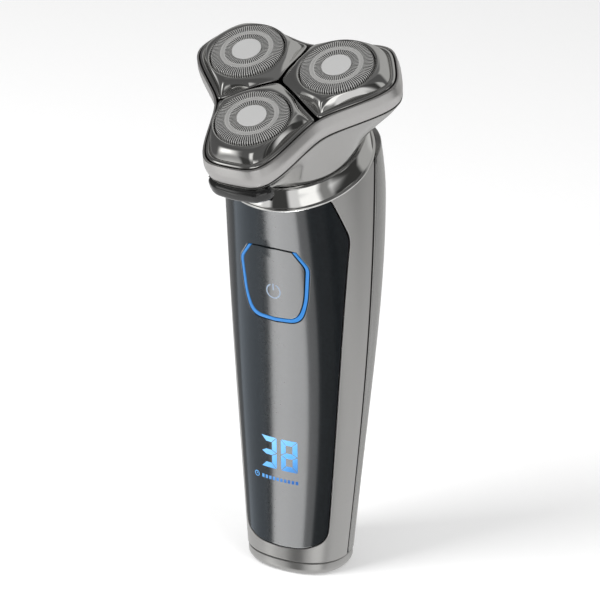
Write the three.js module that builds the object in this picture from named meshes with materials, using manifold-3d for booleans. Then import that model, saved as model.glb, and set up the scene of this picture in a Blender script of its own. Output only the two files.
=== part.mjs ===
import * as THREE from 'three';
import { mergeVertices } from 'three/addons/utils/BufferGeometryUtils.js';
import Module from 'manifold-3d';

// Cordless rotary shaver with three shaving heads, standing on its base.
// Millimetres, +Z up, front towards -Y, +X to the right as seen from the front.

// ---- driving sizes ----
const HANDLE_HEIGHT = 133.3; // height of the tilted handle top above the base, on its own centre line
const NECK_RISE = 28.1; // height of the head centre above the handle top
const HEAD_FORWARD = 17.7; // distance of the head centre in front of the handle centre line
const HEAD_TILT = THREE.MathUtils.degToRad(26); // lean of the head towards the front
const BASE_HALF_WIDTH = 16.2; // half width of the handle at the base
const GRIP_HALF_WIDTH = 23.0; // half width of the handle at its widest
const WIDEST_DROP = 15.3; // handle top to the widest section
const BASE_FRONT = 13.4; // distance from the centre line to the front at the base
const TOP_FRONT = 26.0; // distance from the centre line to the front at the neck
const SWELL_DROP = 25.3; // handle top to the palm swell
const SWELL_ROOM = 3.55; // room between the motor and the housing at the palm swell
const REAR_FALL = 1.9; // how far the rear draws in from the widest section to the handle top
const SECTION_POWER = 2.3; // squareness of the handle section
const NECK_ROUNDING = 0.28; // how much less square the rear half is at the neck
const SKIN = 1.6; // thickness of the front panel and of the rear cover
const FRAME_WALL = 1.3; // thickness of the housing under the panel and the rear cover
const GAP = 0.3; // clearance between neighbouring pieces
const BASE_CAP_HEIGHT = 4.2; // height of the base cap above the table
const SPIGOT_WALL = 1.3; // thickness of the rim of the base cap that plugs into the housing
const SPIGOT_HEIGHT = 3.8; // height of that rim above the base cap
const CAP_RADIUS = 11.0; // outer radius of a shaving cap
const CAP_SPACING = 7.6; // space between two shaving caps
const CAP_SKIN = 0.95; // top of a shaving cap to its inner face
const CAP_SKIRT = 4.2; // depth of a shaving cap
const DISC_RADIUS = 4.4; // radius of the plain disc in the middle of a cap
const PETAL_GAP = 0.4; // clearance between a shaving cap and its petal
const TIP_RIM = 5.31; // edge of a cap to the end of its lobe
const SIDE_RIM = 6.28; // edge of a cap to the side line of its lobe
const LOBE_TAPER = THREE.MathUtils.degToRad(13.4); // taper of the lobe sides
const GROOVE_HALF = 0.45; // half width of the groove between two petals
const HUB_DROP = 1.9; // cap plane to the petal edges at the middle of the head
const RIM_DROP = 4.4; // cap plane to the petal edges round the outside
const COVER_HEIGHT = 6.6; // height of the head cover under the petal rims
const HEAD_BASE_HEIGHT = 13.0; // height of the head base under the seam
const BOWL_WALL = 1.6; // thickness of the head base
const COLLAR_HEIGHT = 7.0; // height of the neck collar
const COLLAR_OVERHANG = 0.2; // collar foot beyond the widest section of the handle
const NECK_STEP = 2.6; // collar foot to the neck of the head base, in radius
const PANEL_FOOT = 9.2; // height of the lower edge of the front panel
const FOOT_MARGIN = 2.0; // width of the frame beside the foot of the panel
const TOP_MARGIN = 2.2; // width of the frame beside the top of the panel
const SHOULDER_DROP = 19.3; // handle top to where the panel corners start to cut in
const BUTTON_DROP = 23.7; // handle top to the upper edge of the power button, where it hinges
const BUTTON_LENGTH = 22.4; // height of the power button
const BUTTON_HALF = 10.0; // half width of the power button
const PLUNGER_RISE = 8.9; // lower edge of the power button to its plunger
const GUIDE_WIDTH = 1.1; // width of the light guide around the button
const DISPLAY_FOOT = 29; // height of the lower edge of the display module
const DISPLAY_HEIGHT = 21; // height of the display module itself
const DISPLAY_HALF = 7.4; // half width of the display module
const DISPLAY_DEPTH = 3.8; // thickness of the display module
const BOARD_THICKNESS = 1.2; // thickness of the circuit board
const BOARD_STANDOFF = 1.1; // circuit board to the chassis behind it
const CHASSIS_THICKNESS = 1.4; // thickness of the chassis
const SWITCH_DEPTH = 1.5; // thickness of the switch under the power button
const SCREW_RADIUS = 0.6; // radius of the board screws
const BATTERY_RADIUS = 7.0; // radius of the cell
const BATTERY_LENGTH = 50; // length of the cell
const SOCKET_HALF = 4.5; // half width of the charging socket
const SOCKET_THICK = 3.2; // thickness of the charging socket
const PINION_TEETH = 18; // teeth of the motor pinion
const DRIVE_TEETH = 27; // teeth of a drive gear
const GEAR_WIDTH = 2.0; // face width of the gears
const MOTOR_RADIUS = 9.4; // radius of the motor
const MOTOR_LENGTH = 26; // length of the motor
const SHAFT_RADIUS = 1.0; // radius of the motor shaft
const SEAL_RADIUS = 6.6; // radius of the seal round the motor shaft
const SPINDLE_RADIUS = 1.5; // radius of a drive spindle
const BLADE_COUNT = 9; // blades on a cutter
const BLADE_THICKNESS = 0.6; // thickness of a cutter blade
const HINGE_REACH = 7.17; // rear notch of the head outline to the hinge axis
const HINGE_HALF = 6.6; // half the length of the hinge
const PIN_RADIUS = 0.65; // radius of the hinge pin
const RELEASE_HALF = 10.2; // half width of the head release button
const RELEASE_HEIGHT = 4.8; // height of the head release button
const KNOB_RADIUS = 5.2; // radius of the knob that locks the retaining frame
const KNOB_STEM = 1.9; // radius of the stem of that knob
const FRAME_PLATE = 1.1; // thickness of the retaining frame

// ---- sizes that follow from them ----
const HEAD_RISE = HANDLE_HEIGHT + NECK_RISE;
const WIDEST_HEIGHT = HANDLE_HEIGHT - WIDEST_DROP;
const SWELL_HEIGHT = HANDLE_HEIGHT - SWELL_DROP;
const WALL = SKIN + GAP + FRAME_WALL; // outer face of the handle to the inner face of the housing
const CAP_ARM = (2 * CAP_RADIUS + CAP_SPACING) / Math.sqrt(3); // head centre to the centre of a cap
const LOBE_TIP = CAP_ARM + CAP_RADIUS + TIP_RIM;
const LOBE_SIDE = CAP_RADIUS + SIDE_RIM;
const RIM_LEVEL = -RIM_DROP; // levels of the head are measured from the cap plane
const SEAM_LEVEL = RIM_LEVEL - COVER_HEIGHT;
const COLLAR_TOP = SEAM_LEVEL - HEAD_BASE_HEIGHT;
const COLLAR_FOOT = COLLAR_TOP - COLLAR_HEIGHT;
const COLLAR_RADIUS = GRIP_HALF_WIDTH + COLLAR_OVERHANG;
const NECK_RADIUS = COLLAR_RADIUS - NECK_STEP;
const PANEL_SHOULDER = HANDLE_HEIGHT - SHOULDER_DROP;
const BUTTON_TOP = HANDLE_HEIGHT - BUTTON_DROP;
const BUTTON_FOOT = BUTTON_TOP - BUTTON_LENGTH;
const PLUNGER_HEIGHT = BUTTON_FOOT + PLUNGER_RISE;
const MOTOR_TOP = COLLAR_FOOT - 3;
const MOTOR_FOOT = MOTOR_TOP - MOTOR_LENGTH;
const MOTOR_LOWEST = HEAD_RISE + MOTOR_FOOT * Math.cos(HEAD_TILT) - MOTOR_RADIUS * Math.sin(HEAD_TILT);
const MOTOR_REAR = -HEAD_FORWARD - MOTOR_FOOT * Math.sin(HEAD_TILT) + MOTOR_RADIUS * Math.cos(HEAD_TILT);
const GRIP_REAR = MOTOR_REAR + SWELL_ROOM + WALL; // centre line to the rear at the palm swell
const DISPLAY_FACE = frontFaceAt(DISPLAY_HALF, DISPLAY_FOOT, SKIN) - GAP; // in front of the centre line
const BOARD_FACE = DISPLAY_FACE - DISPLAY_DEPTH - GAP;
const BOARD_BACK = BOARD_FACE - BOARD_THICKNESS;
const CHASSIS_FACE = BOARD_BACK - BOARD_STANDOFF;
const SWITCH_TIP = BOARD_FACE + GAP + SWITCH_DEPTH + 0.5; // in front of the centre line
const CHASSIS_BACK = CHASSIS_FACE - CHASSIS_THICKNESS;
const CELL_Y = BATTERY_RADIUS + GAP - CHASSIS_BACK; // behind the centre line
const BASE_REAR = CELL_Y + BATTERY_RADIUS + GAP + WALL; // centre line to the rear at the base
const CHASSIS_FOOT = BASE_CAP_HEIGHT + SPIGOT_HEIGHT + 1.5;
const CHASSIS_TOP = MOTOR_LOWEST - 3.35;
const BATTERY_FOOT = CHASSIS_FOOT + CHASSIS_THICKNESS + 0.4;
const BATTERY_TOP = BATTERY_FOOT + BATTERY_LENGTH;
const BOARD_FOOT = CHASSIS_FOOT + 1.5;
const BOARD_TOP = Math.max(CHASSIS_TOP, PLUNGER_HEIGHT) + 6;
const SPIGOT_DEPTH = WALL + GAP + SPIGOT_WALL;
const SOCKET_Y = BASE_REAR - SPIGOT_DEPTH - SOCKET_THICK / 2 - 1.05;
const GEAR_MODULE = (2 * CAP_ARM) / (PINION_TEETH + DRIVE_TEETH);
const GEAR_PLATE_TOP = SEAM_LEVEL - 0.6;
const GEAR_PLATE_FOOT = GEAR_PLATE_TOP - 1.2;
const GEAR_TOP = GEAR_PLATE_FOOT - GAP;
const GEAR_FOOT = GEAR_TOP - GEAR_WIDTH;
const PINION_START = -Math.PI / 2; // one pinion tooth faces the front gear
const SPINDLE_TOP = -CAP_SKIRT - 2;
const LEDGE_LEVEL = SEAM_LEVEL + 1.6; // ledge of the head cover that carries the retaining frame
const FRAME_FOOT = LEDGE_LEVEL + GAP;
const RELEASE_TOP = SEAM_LEVEL - 1.4;
const NOTCH = headReach(Math.PI / 2, 0); // head centre to the rear notch of its outline
const HINGE_Y = NOTCH + HINGE_REACH;
const HINGE_Z = SEAM_LEVEL - 2.5;
const SIDES = [['front', -90], ['right', 30], ['left', 150]];

// Places of the board screws, across and in height.
const SCREWS = [
  [-6.6, CHASSIS_FOOT + 5.5],
  [6.6, CHASSIS_FOOT + 5.5],
  [-9.6, CHASSIS_TOP - 8],
  [9.6, CHASSIS_TOP - 8],
];

// Outer skin of the head base: level, offset of the lobed outline, and how far the lobe ends draw in.
const BOWL = [
  [SEAM_LEVEL - GAP, 0.9, 0],
  [SEAM_LEVEL - 3, 0.6, 1.54],
  [SEAM_LEVEL - 6, 0.3, 4.86],
  [COLLAR_TOP + 3.5, 0, 8.96],
  [COLLAR_TOP, 0, LOBE_TIP - NECK_RADIUS],
];

const wasm = await Module();
wasm.setup();

// ---- materials ----
function finish(color, roughness, metalness) {
  return new THREE.MeshStandardMaterial({ color, roughness, metalness });
}
const satinSilver = finish(0xa9a9a9, 0.38, 0.85);
const greyGloss = finish(0x8e8f91, 0.22, 0.6);
const blackGloss = finish(0x0c0f13, 0.07, 0.0);
const chrome = finish(0xd4d4d6, 0.05, 1.0);
const steel = finish(0xb4b5b7, 0.28, 1.0);
const satinSteel = finish(0xcfcfcf, 0.45, 0.9);
const blueLight = finish(0x2f78c4, 0.3, 0.0);
const darkPlastic = finish(0x1c1d20, 0.55, 0.0);
const palePlastic = finish(0xd8d8d4, 0.5, 0.0);
const rubber = finish(0x141414, 0.85, 0.0);
const boardGreen = finish(0x1c4a30, 0.5, 0.0);
const cellWrap = finish(0x2c5c8a, 0.35, 0.0);
const brass = finish(0xb08a3e, 0.35, 1.0);

// ---- solids ----
// One closed solid from rings of equal length, closed at both ends, or end to start when looped.
function skinRings(rings, looped) {
  const count = rings[0].length;
  const points = rings.flat();
  const index = [];
  const rows = looped ? rings.length : rings.length - 1;
  for (let i = 0; i < rows; i++) {
    const a = i * count;
    const b = ((i + 1) % rings.length) * count;
    for (let j = 0; j < count; j++) {
      const k = (j + 1) % count;
      index.push(a + j, a + k, b + k, a + j, b + k, b + j);
    }
  }
  if (!looped) {
    for (const [row, flip] of [[0, true], [rings.length - 1, false]]) {
      const centre = new THREE.Vector3();
      rings[row].forEach((p) => centre.addScaledVector(p, 1 / count));
      points.push(centre);
      for (let j = 0; j < count; j++) {
        const k = (j + 1) % count;
        const pair = flip ? [row * count + k, row * count + j] : [row * count + j, row * count + k];
        index.push(pair[0], pair[1], points.length - 1);
      }
    }
  }
  const geometry = new THREE.BufferGeometry().setFromPoints(points);
  geometry.setIndex(index);
  return geometry;
}

// A geometry as a manifold solid, for joining and cutting.
function solid(geometry) {
  const bare = geometry.clone();
  bare.deleteAttribute('normal');
  bare.deleteAttribute('uv');
  const merged = mergeVertices(bare, 1e-4);
  const vertProperties = new Float32Array(merged.attributes.position.array);
  const triVerts = new Uint32Array(merged.index.array);
  return new wasm.Manifold(new wasm.Mesh({ numProp: 3, vertProperties, triVerts }));
}

// A manifold solid as a geometry.
function shown(body) {
  const mesh = body.getMesh();
  const points = [];
  for (let i = 0; i < mesh.numVert; i++) {
    const at = i * mesh.numProp;
    points.push(new THREE.Vector3().fromArray(mesh.vertProperties, at));
  }
  const geometry = new THREE.BufferGeometry().setFromPoints(points);
  geometry.setIndex(Array.from(mesh.triVerts));
  return geometry;
}

function joined(first, ...others) {
  return shown(others.reduce((sum, g) => sum.add(solid(g)), solid(first)));
}

function cut(first, ...others) {
  return shown(others.reduce((rest, g) => rest.subtract(solid(g)), solid(first)));
}

function common(first, other) {
  return shown(solid(first).intersect(solid(other)));
}

// A box given by its lowest and highest corner.
function box(low, high) {
  const size = high.map((v, i) => v - low[i]);
  const geometry = new THREE.BoxGeometry(...size);
  return geometry.translate(...low.map((v, i) => v + size[i] / 2));
}

// A cylinder along Z from one level to another.
function rod(radius, from, to, x = 0, y = 0, segments = 24) {
  const geometry = new THREE.CylinderGeometry(radius, radius, to - from, segments);
  return geometry.rotateX(Math.PI / 2).translate(x, y, (from + to) / 2);
}

// A solid turned about Z from a profile of radius and level pairs.
function turned(profile, segments = 32) {
  const geometry = new THREE.LatheGeometry(profile.map(([r, z]) => new THREE.Vector2(r, z)), segments);
  return geometry.rotateX(Math.PI / 2);
}

// A flat shape in X and Y, raised along Z from one level to another.
function raised(shape, from, to, curveSegments = 12) {
  const geometry = new THREE.ExtrudeGeometry(shape, { depth: to - from, bevelEnabled: false, curveSegments });
  return geometry.translate(0, 0, from);
}

// A flat shape in X and height, carried along Y from the front to the back value.
function throughY(shape, front, back, curveSegments = 8) {
  const depth = back - front;
  const geometry = new THREE.ExtrudeGeometry(shape, { depth, bevelEnabled: false, curveSegments });
  return geometry.rotateX(Math.PI / 2).translate(0, back, 0);
}

// A flat shape in Y and Z, carried along X between two values.
function throughX(shape, from, to, curveSegments = 8) {
  const geometry = new THREE.ExtrudeGeometry(shape, { depth: to - from, bevelEnabled: false, curveSegments });
  geometry.rotateY(Math.PI / 2).rotateX(Math.PI / 2);
  return geometry.translate(from, 0, 0);
}

function polygon(pairs) {
  return new THREE.Shape(pairs.map(([x, y]) => new THREE.Vector2(x, y)));
}

// ---- the handle surface ----
function halfWidthAt(z) {
  const swell = Math.sin((Math.PI / 2) * Math.min(z / WIDEST_HEIGHT, 1.6));
  return BASE_HALF_WIDTH + (GRIP_HALF_WIDTH - BASE_HALF_WIDTH) * swell;
}

function frontAt(z) {
  return BASE_FRONT + (TOP_FRONT - BASE_FRONT) * (Math.max(z, 0) / (HANDLE_HEIGHT + 1.7)) ** 2.2;
}

function rearAt(z) {
  const swell = Math.sin((Math.PI / 2) * Math.max(z, 0) / SWELL_HEIGHT) ** 3;
  const draw = REAR_FALL * (Math.max(0, z - WIDEST_HEIGHT) / WIDEST_DROP) ** 2;
  return BASE_REAR + (GRIP_REAR - BASE_REAR) * swell - draw;
}

// Squareness of the rear half of the section at a height.
function rearPowerAt(z) {
  const share = Math.min(1, Math.max(0, z - WIDEST_HEIGHT) / (1.6 * WIDEST_DROP));
  return SECTION_POWER - NECK_ROUNDING * share ** 2;
}

// A point of the handle surface at an angle and a height, set in by a depth.
function onHandle(angle, z, depth) {
  const w = halfWidthAt(z) - depth;
  const d = (Math.sin(angle) < 0 ? frontAt(z) : rearAt(z)) - depth;
  const power = Math.sin(angle) < 0 ? SECTION_POWER : rearPowerAt(z);
  const across = (Math.abs(Math.cos(angle)) / w) ** power;
  const along = (Math.abs(Math.sin(angle)) / d) ** power;
  const radius = (across + along) ** (-1 / power);
  return new THREE.Vector3(radius * Math.cos(angle), radius * Math.sin(angle), z);
}

// Distance in front of the centre line to the handle face at a width and a height, set in by a depth.
function frontFaceAt(x, z, depth) {
  const share = (x / (halfWidthAt(z) - depth)) ** SECTION_POWER;
  return (frontAt(z) - depth) * (1 - share) ** (1 / SECTION_POWER);
}

// Half width inside the housing at a height, on a plane in front of the centre line.
function innerHalfAt(z, y) {
  const share = (y / (frontAt(z) - WALL)) ** SECTION_POWER;
  return (halfWidthAt(z) - WALL) * (1 - share) ** (1 / SECTION_POWER);
}

// A full handle-shaped solid between two heights, set in by a depth.
function handleCore(depth, from, to, levels = 10, around = 40) {
  const rings = [];
  for (let i = 0; i <= levels; i++) {
    const z = from + ((to - from) * i) / levels;
    rings.push(Array.from({ length: around }, (_, j) => onHandle((j / around) * 2 * Math.PI, z, depth)));
  }
  return skinRings(rings, false);
}

// A curved plate that follows the handle between two angles, given by functions of height.
function handlePatch(fromAngle, toAngle, fromZ, toZ, outer, inner, levels = 10, across = 12) {
  const rings = [];
  for (let i = 0; i <= levels; i++) {
    const z = fromZ + ((toZ - fromZ) * i) / levels;
    const a = fromAngle(z);
    const b = toAngle(z);
    const ring = [];
    for (let j = 0; j <= across; j++) ring.push(onHandle(a + ((b - a) * j) / across, z, outer));
    for (let j = across; j >= 0; j--) ring.push(onHandle(a + ((b - a) * j) / across, z, inner));
    rings.push(ring);
  }
  return skinRings(rings, false);
}

// Everything above a level of the head frame, as a block in the frame of the handle.
function aboveHeadLevel(level) {
  const block = box([-60, -70, level], [60, 70, level + 90]).rotateX(HEAD_TILT);
  return block.translate(0, -HEAD_FORWARD, HEAD_RISE);
}

// ---- the head outline ----
// Distance from the head centre to the lobed outline, set out by an offset.
function lobeReach(angle, offset) {
  const tip = Math.max(Math.cos(angle), 0) / (LOBE_TIP + offset);
  const lean = Math.abs(Math.sin(angle)) * Math.cos(LOBE_TAPER) + Math.cos(angle) * Math.sin(LOBE_TAPER);
  const side = Math.max(lean, 0.01) / (LOBE_SIDE + offset);
  return (tip ** 8 + side ** 8) ** (-1 / 8);
}

function headReach(angle, offset) {
  const turn = (2 * Math.PI) / 3;
  const own = angle + Math.PI / 2 - turn * Math.round((angle + Math.PI / 2) / turn);
  const near = lobeReach(own, offset);
  const next = lobeReach(turn - Math.abs(own), offset);
  return (near ** 16 + next ** 16) ** (1 / 16);
}

// A ring of the head outline at a level, blended towards a circle when blend is under 1.
function headRing(offset, level, blend = 1, radius = 0, around = 60) {
  return Array.from({ length: around }, (_, j) => {
    const angle = (j / around) * 2 * Math.PI;
    const reach = blend * headReach(angle, offset) + (1 - blend) * radius;
    return new THREE.Vector3(reach * Math.cos(angle), reach * Math.sin(angle), level);
  });
}

function headShape(offset) {
  return new THREE.Shape(headRing(offset, 0).map((p) => new THREE.Vector2(p.x, p.y)));
}

function hole(shape, x, y, radius) {
  const path = new THREE.Path();
  path.absarc(x, y, radius, 0, 2 * Math.PI, true);
  shape.holes.push(path);
}

// ---- handle pieces ----
function panelHalfWidth(z) {
  const foot = BASE_HALF_WIDTH - FOOT_MARGIN;
  const top = GRIP_HALF_WIDTH - TOP_MARGIN;
  const rise = (top - foot) / (PANEL_SHOULDER - PANEL_FOOT - 4);
  const side = foot + rise * (z - PANEL_FOOT - 4);
  const shoulder = top - 0.3 * Math.max(0, z - PANEL_SHOULDER);
  return Math.min(side, shoulder, halfWidthAt(z) * 0.93);
}

// Angle on the front of the handle where the panel edge, widened by a margin, lies on one side.
function panelAngle(z, grow, side) {
  const x = Math.min(panelHalfWidth(z) + grow, halfWidthAt(z) * 0.96);
  return Math.atan2(-frontFaceAt(x, z, 0), side * x);
}

function panelPatch(grow, outer, inner) {
  const left = (z) => panelAngle(z, grow, -1);
  const right = (z) => panelAngle(z, grow, 1);
  return handlePatch(left, right, BASE_CAP_HEIGHT + 1, HANDLE_HEIGHT + 3, outer, inner);
}

// Space under the curved foot of the panel.
function panelFootBlock(grow) {
  const side = BASE_HALF_WIDTH + 7.8;
  const bend = (BASE_HALF_WIDTH - FOOT_MARGIN) * 0.8;
  const shape = new THREE.Shape();
  shape.moveTo(-side, 0);
  shape.lineTo(side, 0);
  shape.lineTo(side, PANEL_FOOT + 10 - grow);
  shape.quadraticCurveTo(bend, PANEL_FOOT - grow, 0, PANEL_FOOT - grow);
  shape.quadraticCurveTo(-bend, PANEL_FOOT - grow, -side, PANEL_FOOT + 10 - grow);
  return throughY(shape, -40, 0, 8);
}

function rearPatch(lift, outer, inner, from) {
  return handlePatch(() => lift, () => Math.PI - lift, from, HANDLE_HEIGHT + 16, outer, inner, 10, 18);
}

// Outline of the button, widened by a margin all round.
function buttonShape(margin, top) {
  const half = BUTTON_HALF + margin;
  const foot = BUTTON_FOOT - margin;
  const round = 4.2 + margin;
  const shape = new THREE.Shape();
  shape.moveTo(-(half - 3.4), top);
  shape.lineTo(-half - 0.3, BUTTON_TOP - 5);
  shape.lineTo(-half + 0.7, foot + round);
  shape.quadraticCurveTo(-half + 1, foot, -half + round + 1.6, foot);
  shape.lineTo(half - round - 1.6, foot);
  shape.quadraticCurveTo(half - 1, foot, half - 0.7, foot + round);
  shape.lineTo(half + 0.3, BUTTON_TOP - 5);
  shape.lineTo(half - 3.4, top);
  return shape;
}

// The open U of the light guide: a wider outline less a narrower one.
function guideBlock(inner, outer, top) {
  const wide = throughY(buttonShape(outer, top), -40, -8);
  const narrow = throughY(buttonShape(inner, top + 2), -41, -7);
  return cut(wide, narrow);
}

// The skin of the handle round the power button.
function buttonShell() {
  const foot = BUTTON_FOOT - 7;
  const top = BUTTON_TOP + 6;
  return cut(handleCore(0, foot, top), handleCore(SKIN, foot - 2, top + 2));
}

function sideFrame() {
  const outside = handleCore(0, BASE_CAP_HEIGHT + GAP, HANDLE_HEIGHT + 16);
  const inside = handleCore(WALL, 0, HANDLE_HEIGHT + 20);
  const panelSeat = cut(panelPatch(GAP, -1, SKIN + GAP), panelFootBlock(GAP));
  const rearSeat = rearPatch(0.02, -1.5, SKIN + GAP, 0);
  const half = DISPLAY_HALF + 0.8;
  const top = DISPLAY_FOOT + DISPLAY_HEIGHT + 1;
  const window = box([-half, -TOP_FRONT - 4, DISPLAY_FOOT - 1], [half, -CHASSIS_FACE, top]);
  const buttonRoom = throughY(buttonShape(0.9, BUTTON_TOP + 1.2), -40, -8);
  return cut(outside, inside, panelSeat, rearSeat, window, buttonRoom, aboveHeadLevel(COLLAR_FOOT - GAP));
}

function frontPanel() {
  const plate = cut(panelPatch(0, 0, SKIN), panelFootBlock(0), aboveHeadLevel(COLLAR_FOOT - GAP));
  const opening = throughY(buttonShape(GAP + GUIDE_WIDTH + GAP, BUTTON_TOP + GAP), -40, -8);
  return cut(plate, opening);
}

function buttonLightGuide() {
  return common(guideBlock(GAP, GAP + GUIDE_WIDTH, BUTTON_TOP - 0.2), buttonShell());
}

function powerButton() {
  const pad = common(throughY(buttonShape(0, BUTTON_TOP), -40, -8), buttonShell());
  const root = frontAt(PLUNGER_HEIGHT) - SKIN / 2;
  const plunger = box([-1.6, -root, PLUNGER_HEIGHT - 1.6], [1.6, -SWITCH_TIP - 0.8, PLUNGER_HEIGHT + 1.6]);
  return joined(pad, plunger);
}

function rearCover() {
  return cut(rearPatch(0.034, 0, SKIN, BASE_CAP_HEIGHT + GAP), aboveHeadLevel(COLLAR_FOOT - GAP));
}

function baseCap() {
  const levels = [[2.4, 0], [1.2, 0.35], [0.45, 1.1], [0.1, 2.2], [0.1, BASE_CAP_HEIGHT]];
  const rings = levels.map(([depth, z]) =>
    Array.from({ length: 44 }, (_, j) => onHandle((j / 44) * 2 * Math.PI, z, depth)));
  const top = BASE_CAP_HEIGHT + SPIGOT_HEIGHT;
  const plug = handleCore(WALL + GAP, BASE_CAP_HEIGHT - 0.7, top, 1);
  const spigot = cut(plug, handleCore(SPIGOT_DEPTH, BASE_CAP_HEIGHT, top + 1, 1));
  const half = SOCKET_HALF + GAP;
  const reach = SOCKET_THICK / 2 + GAP;
  const slot = box([-half, SOCKET_Y - reach, -1], [half, SOCKET_Y + reach, top + 2]);
  return cut(joined(skinRings(rings, false), spigot), slot);
}

function chargingSocket() {
  const wide = SOCKET_HALF;
  const thick = SOCKET_THICK / 2;
  const top = BASE_CAP_HEIGHT + 3.2;
  const shell = box([-wide, SOCKET_Y - thick, 0.6], [wide, SOCKET_Y + thick, top]);
  const mouth = box([-wide + 0.5, SOCKET_Y - thick + 0.5, 0], [wide - 0.5, SOCKET_Y + thick - 0.5, top - 1]);
  const tongue = box([-wide + 1.3, SOCKET_Y - 0.35, 1.6], [wide - 1.3, SOCKET_Y + 0.35, top - 0.8]);
  return joined(cut(shell, mouth), tongue);
}

// A plate across the handle on a plane in front of the centre line, a little narrower than the housing.
function crossPlate(foot, top, face, back) {
  const heights = [foot, foot + (top - foot) / 3, foot + (2 * (top - foot)) / 3, top];
  const right = heights.map((z) => [innerHalfAt(z, face) - 2.2, z]);
  const left = right.map(([x, z]) => [-x, z]).reverse();
  return throughY(polygon([...right, ...left]), -face, -back);
}

function innerChassis() {
  const spine = crossPlate(CHASSIS_FOOT, CHASSIS_TOP, CHASSIS_FACE, CHASSIS_BACK);
  const half = BATTERY_RADIUS + 1.5;
  const inSpine = -CHASSIS_BACK - 0.3;
  const shelfFoot = BATTERY_TOP + 3.1;
  const shelf = box([-half, inSpine, shelfFoot], [half, CELL_Y + BATTERY_RADIUS - 1.2, shelfFoot + 1.6]);
  const floorTop = CHASSIS_FOOT + CHASSIS_THICKNESS;
  const floor = box([-half, inSpine, CHASSIS_FOOT], [half, CELL_Y + 1.2, floorTop]);
  const posts = SCREWS.map(([x, z]) =>
    box([x - 1.5, -BOARD_BACK + GAP, z - 1.5], [x + 1.5, -CHASSIS_FACE + 0.7, z + 1.5]));
  const bores = SCREWS.map(([x, z]) =>
    rodY(SCREW_RADIUS + GAP, -BOARD_BACK - 0.2, -CHASSIS_FACE + 0.8, x, z, 12));
  return cut(joined(spine, shelf, floor, ...posts), ...bores);
}

// A cylinder along Y.
function rodY(radius, from, to, x, z, segments = 16) {
  const geometry = new THREE.CylinderGeometry(radius, radius, to - from, segments);
  return geometry.translate(x, (from + to) / 2, z);
}

function batteryCell() {
  const r = BATTERY_RADIUS;
  const foot = BATTERY_FOOT;
  const top = BATTERY_TOP;
  const nub = r * 0.37;
  const profile = [[0, foot], [r - 0.6, foot], [r, foot + 0.6], [r, top - 0.6], [r - 0.8, top], [nub, top]];
  return turned([...profile, [nub, top + 1.2], [0, top + 1.2]], 28).translate(0, CELL_Y, 0);
}

function batteryTab() {
  const foot = BATTERY_TOP + 1.5;
  return box([-2, CELL_Y - 2.2, foot], [2, CELL_Y + 2.2, foot + 0.4]);
}

function mainBoard() {
  const plate = crossPlate(BOARD_FOOT, BOARD_TOP, BOARD_FACE, BOARD_BACK);
  const bore = 2 * SCREW_RADIUS;
  return cut(plate, ...SCREWS.map(([x, z]) => rodY(bore, -BOARD_FACE - 1, -BOARD_BACK + 1, x, z)));
}

function displayModule() {
  const top = DISPLAY_FOOT + DISPLAY_HEIGHT;
  const middle = BOARD_FACE + GAP + DISPLAY_DEPTH / 2;
  const glass = box([-DISPLAY_HALF, -DISPLAY_FACE, DISPLAY_FOOT], [DISPLAY_HALF, -middle, top]);
  const half = DISPLAY_HALF - 1;
  const back = box([-half, -middle - 0.1, DISPLAY_FOOT + 1], [half, -BOARD_FACE - GAP, top - 1]);
  return joined(glass, back);
}

function powerSwitch() {
  const face = -BOARD_FACE - GAP;
  const body = box([-3, face - SWITCH_DEPTH, PLUNGER_HEIGHT - 3], [3, face, PLUNGER_HEIGHT + 3]);
  return joined(body, rodY(1.5, -SWITCH_TIP, face - SWITCH_DEPTH + 0.2, 0, PLUNGER_HEIGHT));
}

function boardScrew(x, z) {
  const seat = -BOARD_FACE - GAP;
  const tip = -CHASSIS_FACE + 0.5;
  return joined(rodY(1.6, seat - 1.1, seat, x, z, 12), rodY(SCREW_RADIUS, seat - 0.1, tip, x, z, 12));
}

// ---- neck and head pieces, in the frame of the head ----
function circleRing(radius, shift, level, around = 36) {
  return Array.from({ length: around }, (_, j) => {
    const angle = (j / around) * 2 * Math.PI;
    return new THREE.Vector3(radius * Math.cos(angle), shift + radius * Math.sin(angle), level);
  });
}

function neckRing() {
  const r = COLLAR_RADIUS;
  return skinRings([
    circleRing(r, -0.8, COLLAR_FOOT),
    circleRing(r, -0.8, COLLAR_FOOT + 0.7),
    circleRing(r - 0.5, -0.7, COLLAR_FOOT + 1.4),
    circleRing(r - 1.2, -0.4, COLLAR_FOOT + 3.6),
    circleRing(r - 1.6, 0, COLLAR_TOP - GAP),
    circleRing(r - 3.2, 0, COLLAR_TOP - GAP),
    circleRing(r - 3.4, -0.4, COLLAR_FOOT + 1.5),
    circleRing(4.2, 0, COLLAR_FOOT + 1.5),
    circleRing(4.2, 0, COLLAR_FOOT),
  ], true);
}

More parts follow.
